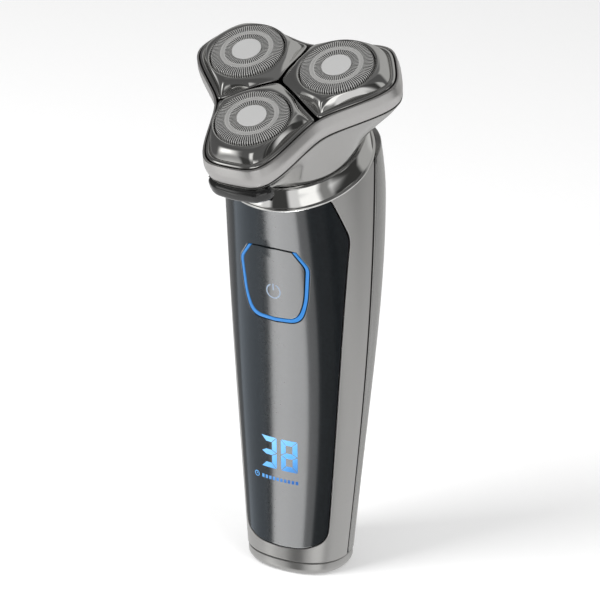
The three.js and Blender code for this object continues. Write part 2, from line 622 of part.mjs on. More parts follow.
function headBase() {
  const lobed = (inset) => 1 - inset / (LOBE_TIP - NECK_RADIUS);
  const skin = (z, offset, inset) => headRing(offset, z, lobed(inset), NECK_RADIUS);
  const lining = (z, offset, inset) => headRing(offset - BOWL_WALL, z, lobed(inset), NECK_RADIUS - BOWL_WALL);
  const outside = BOWL.map((station) => skin(...station)).reverse();
  const inside = BOWL.slice(0, 4).map((station) => lining(...station));
  const floorTop = COLLAR_TOP + BOWL_WALL;
  const floor = [
    headRing(0, floorTop, 0, NECK_RADIUS - BOWL_WALL - 0.8),
    headRing(0, floorTop, 0, SEAL_RADIUS + 0.4),
    headRing(0, COLLAR_TOP, 0, SEAL_RADIUS + 0.4),
  ];
  const bowl = skinRings([...outside, ...inside, ...floor], true);
  const ear = [
    [NOTCH - 0.4, HINGE_Z + 1.1],
    [HINGE_Y - 3.5, HINGE_Z + 1.1],
    [HINGE_Y - 1.2, HINGE_Z + 1.3],
    [HINGE_Y + 0.6, HINGE_Z + 1.6],
    [HINGE_Y + 1.7, HINGE_Z + 0.3],
    [HINGE_Y + 1.4, HINGE_Z - 1.4],
    [NOTCH + 2.2, HINGE_Z - 6],
    [NOTCH - 0.4, HINGE_Z - 6],
  ];
  const left = throughX(polygon(ear), -HINGE_HALF, -HINGE_HALF + 2.9);
  const right = throughX(polygon(ear), HINGE_HALF - 2.9, HINGE_HALF);
  const bore = rodX(PIN_RADIUS + GAP, -HINGE_HALF - 2.4, HINGE_HALF + 2.4, HINGE_Y, HINGE_Z);
  const half = RELEASE_HALF + 0.4;
  const foot = RELEASE_TOP - RELEASE_HEIGHT - 0.4;
  const slot = box([-half, -LOBE_TIP - 2.6, foot], [half, -LOBE_TIP + 9.4, RELEASE_TOP + 0.35]);
  return cut(joined(bowl, left, right), bore, slot);
}

// A cylinder along X.
function rodX(radius, from, to, y, z, segments = 16) {
  const geometry = new THREE.CylinderGeometry(radius, radius, to - from, segments);
  return geometry.rotateZ(Math.PI / 2).translate((from + to) / 2, y, z);
}

function headCover() {
  const section = [
    [0.9, SEAM_LEVEL],
    [1.35, SEAM_LEVEL + 2.8],
    [1.0, RIM_LEVEL - 0.8],
    [0.75, RIM_LEVEL],
    [PETAL_GAP, RIM_LEVEL],
    [PETAL_GAP, SEAM_LEVEL + 3.2],
    [-0.5, LEDGE_LEVEL],
    [-3, LEDGE_LEVEL],
    [-3, SEAM_LEVEL],
  ];
  const ring = skinRings(section.map(([offset, z]) => headRing(offset, z)), true);
  const eye = [
    [NOTCH + 0.47, SEAM_LEVEL + 3.4],
    [NOTCH + 1.87, SEAM_LEVEL + 3.1],
    [HINGE_Y + 0.9, HINGE_Z + 1.5],
    [HINGE_Y + 1.7, HINGE_Z + 0.1],
    [HINGE_Y + 1.1, HINGE_Z - 1.3],
    [HINGE_Y - 0.6, HINGE_Z - 1.6],
    [HINGE_Y - 3.3, HINGE_Z - 0.1],
    [NOTCH + 2.37, SEAM_LEVEL - 0.3],
    [NOTCH + 0.47, SEAM_LEVEL],
  ];
  const bore = rodX(PIN_RADIUS + 2 * GAP, -4, 4, HINGE_Y, HINGE_Z);
  return cut(joined(ring, throughX(polygon(eye), -HINGE_HALF / 2, HINGE_HALF / 2)), bore);
}

function releaseButton() {
  const half = RELEASE_HALF;
  const tip = -LOBE_TIP;
  const plan = new THREE.Shape();
  plan.moveTo(-half, tip + 3.0);
  plan.lineTo(-half, tip + 2.2);
  plan.quadraticCurveTo(-half + 0.6, tip - 1.0, -half + 4.2, tip - 1.5);
  plan.quadraticCurveTo(0, tip - 2.2, half - 4.2, tip - 1.5);
  plan.quadraticCurveTo(half - 0.6, tip - 1.0, half, tip + 2.2);
  plan.lineTo(half, tip + 3.0);
  const foot = RELEASE_TOP - RELEASE_HEIGHT;
  const tongue = box([-4, tip + 2.4, foot], [4, tip + 9, foot + 1.2]);
  return joined(raised(plan, foot, RELEASE_TOP, 8), tongue);
}

function gearPlate() {
  const shape = headShape(-2.5);
  for (const [, degrees] of SIDES) {
    const angle = THREE.MathUtils.degToRad(degrees);
    hole(shape, CAP_ARM * Math.cos(angle), CAP_ARM * Math.sin(angle), SPINDLE_RADIUS + 0.7);
  }
  const half = RELEASE_HALF + 1.2;
  const notch = box([-half, -LOBE_TIP - 3, GEAR_PLATE_FOOT - 1], [half, -LOBE_TIP + 5, GEAR_PLATE_TOP + 1]);
  return cut(raised(shape, GEAR_PLATE_FOOT, GEAR_PLATE_TOP), notch);
}

// Outline of a spur gear with involute flanks, one tooth centred on a start angle.
function gearShape(teeth, module, start) {
  const pitch = (teeth * module) / 2;
  const base = pitch * Math.cos(THREE.MathUtils.degToRad(20));
  const root = pitch - 1.2 * module;
  const tip = pitch + 0.8 * module;
  const roll = (r) => Math.sqrt(Math.max((r / base) ** 2 - 1, 0));
  const lean = (r) => roll(r) - Math.atan(roll(r));
  const half = Math.PI / (2 * teeth) - 0.1 / pitch;
  const shape = new THREE.Shape();
  const steps = [root, (base + tip) / 2, tip];
  const flank = (tooth, side, r) => {
    const angle = start + (tooth * 2 * Math.PI) / teeth + side * (half + lean(pitch) - lean(r));
    return [r * Math.cos(angle), r * Math.sin(angle)];
  };
  shape.moveTo(...flank(0, -1, root));
  for (let tooth = 0; tooth < teeth; tooth++) {
    for (const r of steps) shape.lineTo(...flank(tooth, -1, r));
    for (const r of steps.slice().reverse()) shape.lineTo(...flank(tooth, 1, r));
  }
  return shape;
}

function motorPinion() {
  const shape = gearShape(PINION_TEETH, GEAR_MODULE, PINION_START);
  hole(shape, 0, 0, SHAFT_RADIUS + GAP);
  return raised(shape, GEAR_FOOT, GEAR_TOP, 8);
}

// A drive gear about its own axis, turned so that its teeth mesh with the pinion.
function driveGear(degrees) {
  const angle = THREE.MathUtils.degToRad(degrees);
  const pitches = ((angle - PINION_START) * PINION_TEETH) / (2 * Math.PI);
  const start = angle + Math.PI + (Math.PI * (1 + 2 * (pitches - Math.round(pitches)))) / DRIVE_TEETH;
  const shape = gearShape(DRIVE_TEETH, GEAR_MODULE, start);
  hole(shape, 0, 0, SPINDLE_RADIUS + GAP);
  return raised(shape, GEAR_FOOT, GEAR_TOP, 8);
}

function driveSpindle() {
  const r = SPINDLE_RADIUS;
  const foot = GEAR_FOOT - 2.2;
  return turned([[0, foot], [r, foot], [r, SPINDLE_TOP - 0.8], [r - 0.4, SPINDLE_TOP], [0, SPINDLE_TOP]], 16);
}

function motorShaft() {
  return rod(SHAFT_RADIUS, MOTOR_TOP - 2, GEAR_TOP + 0.3, 0, 0, 16);
}

function motorBody() {
  const r = MOTOR_RADIUS;
  const bore = SHAFT_RADIUS + 0.4;
  const outside = [[0, MOTOR_FOOT], [r - 1, MOTOR_FOOT], [r, MOTOR_FOOT + 1], [r, MOTOR_TOP - 0.8]];
  const boss = [[r - 0.8, MOTOR_TOP], [3.4, MOTOR_TOP], [3.4, MOTOR_TOP + 1.4], [bore, MOTOR_TOP + 1.4]];
  return turned([...outside, ...boss, [bore, MOTOR_TOP - 3], [0, MOTOR_TOP - 3]], 22);
}

// The plate that holds the motor fills the housing round it.
function motorMount() {
  const disc = rod(GRIP_HALF_WIDTH + 20, MOTOR_TOP - 4, MOTOR_TOP - 1.8, 0, 0, 28);
  const opening = rod(MOTOR_RADIUS + GAP, MOTOR_TOP - 5, MOTOR_TOP, 0, 0, 28);
  const room = handleCore(WALL + GAP, 0, HANDLE_HEIGHT + 20);
  room.translate(0, HEAD_FORWARD, -HEAD_RISE).rotateX(-HEAD_TILT);
  return cut(common(disc, room), opening);
}

function neckSeal() {
  const foot = COLLAR_TOP + GAP;
  const bore = SHAFT_RADIUS + 0.4;
  const section = [[bore, foot], [SEAL_RADIUS, foot], [SEAL_RADIUS, foot + 1.2], [4, foot + 1.6]];
  return turned([...section, [bore, foot + 1.2], [bore, foot]], 24);
}

function hingePin() {
  return rodX(PIN_RADIUS, -HINGE_HALF + 0.1, HINGE_HALF - 0.1, HINGE_Y, HINGE_Z);
}

function retainingFrame() {
  const shape = headShape(-1.6);
  for (const [, degrees] of SIDES) {
    const angle = THREE.MathUtils.degToRad(degrees);
    hole(shape, CAP_ARM * Math.cos(angle), CAP_ARM * Math.sin(angle), CAP_RADIUS - 1);
  }
  hole(shape, 0, 0, KNOB_STEM + 0.4);
  return raised(shape, FRAME_FOOT, FRAME_FOOT + FRAME_PLATE);
}

function retainingKnob() {
  const r = KNOB_RADIUS;
  const foot = SEAM_LEVEL - 0.1;
  const top = FRAME_FOOT - GAP;
  const stemTop = FRAME_FOOT + FRAME_PLATE - 0.2;
  const rim = [[0, foot], [r - 0.6, foot], [r, foot + 0.6], [r, top]];
  const stem = [[KNOB_STEM, top], [KNOB_STEM, stemTop], [0, stemTop]];
  const grip = box([-0.7, -r + 0.9, foot - GAP], [0.7, r - 0.9, foot + 0.2]);
  return joined(turned([...rim, ...stem], 24), grip);
}

// ---- a shaving unit about the axis of its cap, with the lobe pointing along +X ----
// Distance from the cap axis to the petal edge in a direction.
function petalReach(angle) {
  let near = 5;
  let far = 25;
  for (let i = 0; i < 30; i++) {
    const r = (near + far) / 2;
    const x = CAP_ARM + r * Math.cos(angle);
    const y = r * Math.sin(angle);
    const inside = Math.hypot(x, y) < headReach(Math.atan2(y, x) - Math.PI / 2, 0);
    if (inside) near = r;
    else far = r;
  }
  const groove = CAP_ARM * Math.sin(Math.PI / 3) - GROOVE_HALF;
  const turn = (5 * Math.PI) / 6;
  const walls = [turn, -turn].map((t) => Math.max(Math.cos(angle - t), 0) / groove);
  return [1 / near, ...walls].reduce((sum, v) => sum + v ** 12, 0) ** (-1 / 12);
}

// Level of a petal's edge, high at the middle of the head and low round its outside.
function edgeLevel(distance) {
  const share = THREE.MathUtils.smoothstep(distance, 3, CAP_ARM + 2);
  return -HUB_DROP + (RIM_LEVEL + HUB_DROP) * share;
}

function petalFrame() {
  const inner = CAP_RADIUS + PETAL_GAP;
  const ring = (share, levelAt) => Array.from({ length: 36 }, (_, j) => {
    const angle = (j / 36) * 2 * Math.PI;
    const far = petalReach(angle);
    const r = inner + share * (far - inner);
    const edge = edgeLevel(Math.hypot(CAP_ARM + far * Math.cos(angle), far * Math.sin(angle)));
    return new THREE.Vector3(r * Math.cos(angle), r * Math.sin(angle), levelAt(edge));
  });
  return skinRings([
    ring(0, () => RIM_LEVEL - 2),
    ring(1, () => RIM_LEVEL - 2),
    ring(1, (edge) => edge + 0.2),
    ring(0.9, (edge) => edge + 0.2 - (edge + 0.7) * 0.3),
    ring(0.35, (edge) => -0.7 + (edge + 0.7) * 0.12),
    ring(0, () => -0.7),
  ], true);
}

function shavingCap() {
  const r = CAP_RADIUS;
  const wall = r - 0.7;
  const well = DISC_RADIUS + 0.3;
  const inner = 0.25 - CAP_SKIN;
  const skirt = [[0, inner], [wall, inner], [wall, -CAP_SKIRT], [r, -CAP_SKIRT], [r, -0.3], [r - 0.5, 0.35]];
  const track = [[r - 3.3, 0.4], [r - 3.5, 0.15], [r - 4.0, 0.15], [r - 4.2, 0.4], [well + 0.1, 0.4]];
  return turned([...skirt, ...track, [well, -0.25], [0, -0.25]], 26);
}

function capDisc() {
  const r = DISC_RADIUS;
  return turned([[0, 0.05], [r - 0.1, 0.05], [r, 0.2], [r - 0.1, 0.45], [r * 0.6, 0.62], [0, 0.68]], 20);
}

function cutterBlades() {
  const near = DISC_RADIUS + 0.6;
  const far = CAP_RADIUS - 1.6;
  const top = 0.25 - CAP_SKIN - 0.4; // the blades run just under the cap
  const foot = top - 2.5;
  const base = turned([[near, foot], [far, foot], [far, foot + 0.7], [near, foot + 0.7], [near, foot]], 18);
  const half = BLADE_THICKNESS / 2;
  const blades = [];
  for (let i = 0; i < BLADE_COUNT; i++) {
    const blade = box([near + 0.6, -half, foot + 0.4], [far - 0.1, half, top]);
    blades.push(blade.rotateZ((i * 2 * Math.PI) / BLADE_COUNT));
  }
  return joined(base, ...blades);
}

function cutterHub() {
  const neck = SPINDLE_RADIUS + 2.1;
  const socket = SPINDLE_RADIUS + 1;
  const rim = DISC_RADIUS + 0.2;
  const top = -0.25 - CAP_SKIN - 1.2;
  const foot = SPINDLE_TOP - 1.1;
  const outside = [[socket, foot], [neck, foot], [neck, top - 2.6], [rim, top - 2.2], [rim, top], [0, top]];
  return turned([...outside, [0, top - 2.9], [socket, top - 2.9], [socket, foot]], 18);
}

// ---- the assembly ----
const group = new THREE.Group();
const head = new THREE.Group();
head.position.set(0, -HEAD_FORWARD, HEAD_RISE);
head.rotation.x = HEAD_TILT;
group.add(head);

function place(parent, name, geometry, material) {
  const mesh = new THREE.Mesh(geometry, material);
  mesh.name = name;
  parent.add(mesh);
  return mesh;
}

place(group, 'side_frame', sideFrame(), satinSilver);
place(group, 'front_panel', frontPanel(), blackGloss);
place(group, 'rear_cover', rearCover(), greyGloss);
place(group, 'base_cap', baseCap(), satinSilver);
place(group, 'power_button', powerButton(), blackGloss);
place(group, 'button_light_guide', buttonLightGuide(), blueLight);
place(group, 'charging_socket', chargingSocket(), steel);
place(group, 'inner_chassis', innerChassis(), darkPlastic);
place(group, 'battery_cell', batteryCell(), cellWrap);
place(group, 'battery_tab_top', batteryTab(), steel);
place(group, 'main_board', mainBoard(), boardGreen);
place(group, 'display_module', displayModule(), darkPlastic);
place(group, 'power_switch', powerSwitch(), steel);
SCREWS.forEach(([x, z], i) =>
  place(group, 'board_screw_' + (i + 1), boardScrew(x, z), steel));

place(head, 'neck_ring', neckRing(), chrome);
place(head, 'head_base', headBase(), greyGloss);
place(head, 'neck_seal', neckSeal(), rubber);
place(head, 'motor_body', motorBody(), steel);
place(head, 'motor_mount', motorMount(), darkPlastic);
place(head, 'motor_shaft', motorShaft(), steel);
place(head, 'motor_pinion', motorPinion(), brass);
place(head, 'gear_plate', gearPlate(), darkPlastic);
place(head, 'hinge_pin', hingePin(), steel);
place(head, 'head_release_button', releaseButton(), blackGloss);
place(head, 'head_cover', headCover(), satinSilver);
place(head, 'retaining_frame', retainingFrame(), darkPlastic);
place(head, 'retaining_knob', retainingKnob(), darkPlastic);

for (const [side, degrees] of SIDES) {
  const angle = THREE.MathUtils.degToRad(degrees);
  const axis = new THREE.Group();
  axis.position.set(CAP_ARM * Math.cos(angle), CAP_ARM * Math.sin(angle), 0);
  head.add(axis);
  const unit = new THREE.Group();
  unit.rotation.z = angle;
  axis.add(unit);
  place(axis, 'drive_gear_' + side, driveGear(degrees), palePlastic);
  place(axis, 'drive_spindle_' + side, driveSpindle(), steel);
  place(unit, 'petal_frame_' + side, petalFrame(), chrome);
  place(unit, 'shaving_cap_' + side, shavingCap(), steel);
  place(unit, 'cap_disc_' + side, capDisc(), satinSteel);
  place(unit, 'cutter_blades_' + side, cutterBlades(), steel);
  place(unit, 'cutter_hub_' + side, cutterHub(), darkPlastic);
}

export default group;
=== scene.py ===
"""Looks of the cordless rotary shaver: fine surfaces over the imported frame.

Sizes are in millimetres until make() scales them.
"""
import math

import bpy
import numpy as np
from mathutils import Matrix, Vector
from mathutils.geometry import delaunay_2d_cdt


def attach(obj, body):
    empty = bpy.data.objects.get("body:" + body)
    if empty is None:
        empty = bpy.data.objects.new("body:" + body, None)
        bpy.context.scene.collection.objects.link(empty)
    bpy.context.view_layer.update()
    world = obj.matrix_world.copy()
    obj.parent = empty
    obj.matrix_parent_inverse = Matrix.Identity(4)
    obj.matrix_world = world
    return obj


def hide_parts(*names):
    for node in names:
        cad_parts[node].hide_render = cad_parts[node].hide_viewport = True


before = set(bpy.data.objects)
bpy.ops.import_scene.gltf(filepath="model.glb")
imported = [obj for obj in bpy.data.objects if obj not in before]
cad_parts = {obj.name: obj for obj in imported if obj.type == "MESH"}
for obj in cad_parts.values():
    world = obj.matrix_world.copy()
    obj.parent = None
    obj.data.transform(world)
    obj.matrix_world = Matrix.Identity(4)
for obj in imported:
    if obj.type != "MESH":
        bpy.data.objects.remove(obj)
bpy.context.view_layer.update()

MM = 0.001

# ---- driving sizes, as in the frame ----
HANDLE_HEIGHT = 133.3
BASE_HALF_WIDTH = 16.2
GRIP_HALF_WIDTH = 23.0
WIDEST_HEIGHT = 118.0
BASE_FRONT = 13.4
TOP_FRONT = 26.0
BASE_REAR = 14.47
GRIP_REAR = 23.8
SWELL_HEIGHT = 108.0
REAR_FALL = 1.9
WIDEST_DROP = 15.3
SECTION_POWER = 2.3
NECK_ROUNDING = 0.28
SKIN = 1.6
BASE_CAP_HEIGHT = 4.2
HEAD_TILT = math.radians(26)
HEAD_FORWARD = 17.7
HEAD_RISE = 161.4
HEAD_PITCH = 29.6
CAP_ARM = HEAD_PITCH / math.sqrt(3)
CAP_RADIUS = 11.0
DISC_RADIUS = 4.4
LOBE_TIP = 33.4
LOBE_SIDE = 17.28
LOBE_TAPER = math.radians(13.4)
GROOVE_HALF = 0.45
RIM_LEVEL = -4.4
SEAM_LEVEL = -11.0
COLLAR_TOP = -24.0
COLLAR_FOOT = -31.0
COLLAR_RADIUS = 23.2
NECK_RADIUS = 20.6
PANEL_FOOT = 9.2
PANEL_HALF_FOOT = 14.2
PANEL_HALF_TOP = 20.8
PANEL_SHOULDER = 114.0
BUTTON_FOOT = 87.2
BUTTON_TOP = 109.6
RELEASE_TOP = -12.4
SOCKET_Y = 7.0
CREASE = 0.045  # angle from the widest line to the edge of the rear cover
DIGIT_WIDTH = 5.5
DIGIT_HEIGHT = 10.6
DIGIT_FOOT = 35.0
LEVEL_TICKS = 10
SYMBOL_HEIGHT = 95.6
OUTER_SLOTS = 96
INNER_SLOTS = 62
CAP_WALL = 0.22
HOLE_ROUND = 0.5  # rounding of the hole of a petal
HOLE_EDGE = -0.85  # level where that rounding starts
PETAL_FOOT = RIM_LEVEL - 1.8
BASE_AROUND = 160
SIDES = (("front", -90), ("right", 30), ("left", 150))

TURN = 2 * math.pi
HEAD = Matrix.Translation(Vector((0, -HEAD_FORWARD, HEAD_RISE)) * MM) @ Matrix.Rotation(HEAD_TILT, 4, "X")


def unit_matrix(degrees):
    """The frame of a shaving unit: origin at its cap centre, X towards the end of its lobe."""
    angle = math.radians(degrees)
    centre = Vector((CAP_ARM * math.cos(angle), CAP_ARM * math.sin(angle), 0)) * MM
    return HEAD @ Matrix.Translation(centre) @ Matrix.Rotation(angle, 4, "Z")


# ---- node materials ----
class Nodes:
    """A short way to build a node tree."""

    def __init__(self, tree):
        self.tree = tree
        tree.nodes.clear()

    def add(self, kind, inputs=None, **settings):
        node = self.tree.nodes.new(kind)
        for key, value in settings.items():
            setattr(node, key, value)
        for key, value in (inputs or {}).items():
            if isinstance(value, bpy.types.NodeSocket):
                self.tree.links.new(value, node.inputs[key])
            else:
                node.inputs[key].default_value = value
        return node

    def math(self, operation, a, b=0.0, c=0.0):
        return self.add("ShaderNodeMath", {0: a, 1: b, 2: c}, operation=operation).outputs[0]

    def noise(self, vector, scale, detail=3.0, rough=0.5):
        settings = {"Vector": vector, "Scale": scale, "Detail": detail, "Roughness": rough}
        return self.add("ShaderNodeTexNoise", settings).outputs["Fac"]

    def ramp(self, value, stops):
        node = self.add("ShaderNodeValToRGB", {"Fac": value})
        points = node.color_ramp.elements
        while len(points) < len(stops):
            points.new(0.5)
        for point, (at, shade) in zip(points, stops):
            point.position = at
            point.color = (*shade, 1) if isinstance(shade, tuple) else (shade, shade, shade, 1)
        return node.outputs["Color"]

    def over(self, factor, under, shade):
        """A colour laid over another by a factor."""
        mixed = self.add("ShaderNodeMix", {"Factor": factor, "A": under, "B": (*shade, 1)}, data_type="RGBA")
        return mixed.outputs["Result"]

    def spread(self, value, low, high):
        """Value from 0 to 1 spread over low to high."""
        return self.add("ShaderNodeMapRange", {"Value": value, "To Min": low, "To Max": high}).outputs[0]


def material(name, color, metallic, roughness, grain=0.03, rough_swing=0.04, bump=0.02, bump_scale=2500.0,
             stretch=(1, 1, 1), coat=0.0, smudge=60.0, emission=None, specular=0.5):
    """A lacquer, metal or plastic: colour grain, smudged roughness and a fine bump, in object space."""
    made = bpy.data.materials.new(name)
    made.use_nodes = True
    n = Nodes(made.node_tree)
    place = n.add("ShaderNodeTexCoord").outputs["Object"]
    stretched = n.add("ShaderNodeMapping", {"Vector": place, "Scale": stretch}).outputs["Vector"]
    fine = n.noise(stretched, bump_scale, 4.0)
    broad = n.noise(place, smudge, 4.0, 0.6)
    dark = tuple(c * (1 - grain) for c in color)
    light = tuple(min(1.0, c * (1 + grain)) for c in color)
    tone = n.ramp(fine, [(0.3, dark), (0.7, light)])
    rough = n.spread(broad, max(0.02, roughness - rough_swing), roughness + rough_swing)
    relief = n.add("ShaderNodeBump", {"Strength": bump, "Distance": 0.0002, "Height": fine}).outputs["Normal"]
    shader = n.add("ShaderNodeBsdfPrincipled", {
        "Base Color": tone, "Metallic": metallic, "Roughness": rough, "Normal": relief,
        "Coat Weight": coat, "Coat Roughness": 0.04, "Specular IOR Level": specular,
    })
    if emission:
        shader.inputs["Emission Color"].default_value = (*emission[0], 1)
        shader.inputs["Emission Strength"].default_value = emission[1]
    n.add("ShaderNodeOutputMaterial", {"Surface": shader.outputs[0]})
    return made


def turned_steel(name, color, roughness, rings=900.0, metallic=1.0):
    """Steel with fine concentric turning marks about the local Z axis."""
    made = bpy.data.materials.new(name)
    made.use_nodes = True
    n = Nodes(made.node_tree)
    place = n.add("ShaderNodeTexCoord").outputs["Object"]
    flat = n.add("ShaderNodeVectorMath", {0: place, 1: (1, 1, 0)}, operation="MULTIPLY").outputs["Vector"]
    radius = n.add("ShaderNodeVectorMath", {0: flat}, operation="LENGTH").outputs["Value"]
    across = n.add("ShaderNodeCombineXYZ", {"X": radius}).outputs["Vector"]
    marks = n.noise(across, rings * 10, 3.0, 0.7)
    cloud = n.noise(place, 300.0, 3.0)
    tone = n.ramp(marks, [(0.25, tuple(c * 0.9 for c in color)), (0.75, color)])
    rough = n.spread(cloud, roughness - 0.06, roughness + 0.08)
    bump = n.add("ShaderNodeBump", {"Strength": 0.08, "Distance": 0.0001, "Height": marks})
    shader = n.add("ShaderNodeBsdfPrincipled", {
        "Base Color": tone, "Metallic": metallic, "Roughness": rough, "Normal": bump.outputs["Normal"],
        "Anisotropic": 0.4,
    })
    n.add("ShaderNodeOutputMaterial", {"Surface": shader.outputs[0]})
    return made


def display_light(name):
    """Display light that fades from sky blue at the top left to deep blue at the bottom right."""
    made = bpy.data.materials.new(name)
    made.use_nodes = True
    n = Nodes(made.node_tree)
    place = n.add("ShaderNodeTexCoord").outputs["Object"]
    axes = n.add("ShaderNodeSeparateXYZ", {0: place})
    across = n.math("MULTIPLY", axes.outputs["X"], 32.0)
    slide = n.math("ADD", across, n.math("MULTIPLY", axes.outputs["Z"], -52.0))
    fade = n.math("ADD", slide, 2.4)
    speckle = n.math("MULTIPLY_ADD", n.noise(place, 2600.0), 0.25, fade)
    sky, middle, deep = (0.16, 0.42, 0.75), (0.09, 0.32, 0.66), (0.02, 0.10, 0.33)
    tone = n.ramp(speckle, [(0.15, sky), (0.55, middle), (1.0, deep)])
    shader = n.add("ShaderNodeBsdfPrincipled", {
        "Base Color": tone, "Roughness": 0.25, "Emission Color": tone, "Emission Strength": 0.55,
    })
    n.add("ShaderNodeOutputMaterial", {"Surface": shader.outputs[0]})
    return made


SATIN = material("satin_silver_lacquer", (0.47, 0.465, 0.455), 0.92, 0.30, 0.05, 0.03, 0.03, 6000.0,
                 coat=0.15)
GLOSS_GREY = material("grey_gloss_lacquer", (0.46, 0.455, 0.445), 0.92, 0.16, 0.03, 0.03, 0.012, 5000.0,
                      coat=0.4)
REAR_GREY = material("rear_grey_lacquer", (0.36, 0.357, 0.35), 0.92, 0.2, 0.03, 0.03, 0.012, 5000.0, coat=0.3)
COVER_SATIN = material("cover_silver_lacquer", (0.56, 0.55, 0.54), 0.9, 0.3, 0.05, 0.03, 0.03, 6000.0,
                       coat=0.15)
PANEL = material("black_gloss_panel", (0.0035, 0.0042, 0.0048), 0.0, 0.17, 0.2, 0.02, 0.006, 900.0,
                 specular=0.1)
BLACK = material("black_gloss_button", (0.012, 0.012, 0.012), 0.0, 0.12, 0.2, 0.03, 0.01, 2000.0, coat=0.5)
CHROME = material("mirror_chrome", (0.78, 0.775, 0.76), 1.0, 0.05, 0.01, 0.02, 0.004, 1500.0)
STEEL = material("brushed_steel", (0.55, 0.545, 0.535), 1.0, 0.3, 0.08, 0.06, 0.05, 4000.0, (1, 1, 0.1))
CAP_STEEL = turned_steel("cap_steel", (0.8, 0.795, 0.78), 0.33, 900.0, 0.72)
# Near-black inside of the caps is painted shade: it stands in for the dark hollow under the slots, not the
# steel's own colour.
CAP_INSIDE_SHADE = material("cap_inside_painted_shade", (0.03, 0.03, 0.03), 0.6, 0.5, 0.2, 0.1, 0.1, 3000.0)
# Blades darkened to near-black steel: painted shade for the unlit inside of the head, seen through the slots.
CUTTER_SHADED = material("cutter_steel_painted_shade", (0.1, 0.1, 0.1), 1.0, 0.4, 0.1, 0.08, 0.05, 4000.0)
DISC_STEEL = turned_steel("disc_satin", (0.6, 0.6, 0.595), 0.5, 1400.0, 0.35)
BLUE = material("blue_light_guide", (0.03, 0.17, 0.45), 0.0, 0.25, 0.08, 0.05, 0.02, 3000.0,
                emission=((0.02, 0.13, 0.36), 0.6))
ICON = material("icon_print", (0.28, 0.34, 0.42), 0.2, 0.3, 0.1, 0.05, 0.02, 5000.0,
                emission=((0.3, 0.4, 0.55), 0.25))
DIGITS = display_light("display_light")
DARK = material("dark_moulded_plastic", (0.022, 0.022, 0.024), 0.0, 0.5, 0.25, 0.08, 0.12, 1800.0)
PALE = material("acetal_gear_plastic", (0.70, 0.70, 0.66), 0.0, 0.4, 0.03, 0.06, 0.05, 1500.0)
RUBBER = material("seal_rubber", (0.015, 0.015, 0.015), 0.0, 0.75, 0.2, 0.08, 0.2, 2500.0)
BOARD = material("circuit_board", (0.015, 0.11, 0.05), 0.0, 0.35, 0.3, 0.08, 0.08, 700.0, coat=0.3)
WRAP = material("cell_wrap", (0.05, 0.16, 0.32), 0.0, 0.3, 0.08, 0.05, 0.03, 1500.0, coat=0.3)
BRASS = material("brass", (0.62, 0.43, 0.17), 1.0, 0.3, 0.05, 0.06, 0.04, 3000.0)


# ---- mesh helpers ----
def make(name, points, faces, finish, matrix=None, normals=None, sharp=32):
    """A smooth-shaded object from points in millimetres."""
    mesh = bpy.data.meshes.new(name)
    mesh.from_pydata([tuple(Vector(p) * MM) for p in points], [], faces)
    mesh.update()
    mesh.materials.append(finish)
    mesh.shade_smooth()
    if normals:
        mesh.normals_split_custom_set_from_vertices([tuple(v) for v in normals])
    else:
        mesh.set_sharp_from_angle(angle=math.radians(sharp))
    made = bpy.data.objects.new(name, mesh)
    bpy.context.scene.collection.objects.link(made)
    if matrix:
        made.matrix_world = matrix
    return made


def stand_for(piece, body, slot, *nodes):
    """The piece replaces these frame nodes and moves with their body."""
    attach(piece, body)
    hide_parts(*nodes)
    return piece


def loft(rings, looped=False, start=True, end=True):
    """Points and faces of a skin over equal rings, closed at its ends or end to start."""
    count = len(rings[0])
    points = [p for ring in rings for p in ring]
    faces = []
    rows = len(rings) if looped else len(rings) - 1
    for i in range(rows):
        a, b = i * count, ((i + 1) % len(rings)) * count
        for j in range(count):
            k = (j + 1) % count
            faces.append((a + j, a + k, b + k, b + j))
    if not looped and start:
        faces.append(tuple(reversed(range(count))))
    if not looped and end:
        faces.append(tuple(range((len(rings) - 1) * count, len(rings) * count)))
    return points, faces


def circle(radius, level, shift=0.0, around=192):
    angles = [TURN * j / around for j in range(around)]
    return [Vector((radius * math.cos(a), shift + radius * math.sin(a), level)) for a in angles]


def soft_corners(corners, radii, steps=5, closed=True):
    """A polyline whose corners are rounded by the given radii."""
    count = len(corners)
    points = []
    for i, (corner, radius) in enumerate(zip(corners, radii)):
        here = Vector(corner)
        if radius == 0 or (not closed and i in (0, count - 1)):
            points.append(here)
            continue
        before = Vector(corners[i - 1]) - here
        after = Vector(corners[(i + 1) % count]) - here
        reach = min(radius, before.length * 0.49, after.length * 0.49)
        a = here + before.normalized() * reach
        b = here + after.normalized() * reach
        for k in range(steps + 1):
            t = k / steps
            points.append(a * (1 - t) ** 2 + here * 2 * t * (1 - t) + b * t ** 2)
    return points


def turned(name, profile, finish, matrix=None, around=128, sharp=32):
    """A surface turned about Z from radius and level pairs, starting and ending on the axis or closed."""
    on_axis = profile[0][0] < 1e-6
    rings = [circle(max(r, 0.01), z, 0.0, around) for r, z in profile]
    points, faces = loft(rings, looped=not on_axis)
    return make(name, points, faces, finish, matrix, sharp=sharp)


# ---- the handle surface ----
def half_width_at(z):
    swell = math.sin(math.pi / 2 * min(z / WIDEST_HEIGHT, 1.6))
    return BASE_HALF_WIDTH + (GRIP_HALF_WIDTH - BASE_HALF_WIDTH) * swell


def front_at(z):
    return BASE_FRONT + (TOP_FRONT - BASE_FRONT) * (max(z, 0) / (HANDLE_HEIGHT + 1.7)) ** 2.2


def rear_at(z):
    swell = math.sin(math.pi / 2 * max(z, 0) / SWELL_HEIGHT) ** 3
    draw = REAR_FALL * (max(0.0, z - WIDEST_HEIGHT) / WIDEST_DROP) ** 2
    return BASE_REAR + (GRIP_REAR - BASE_REAR) * swell - draw


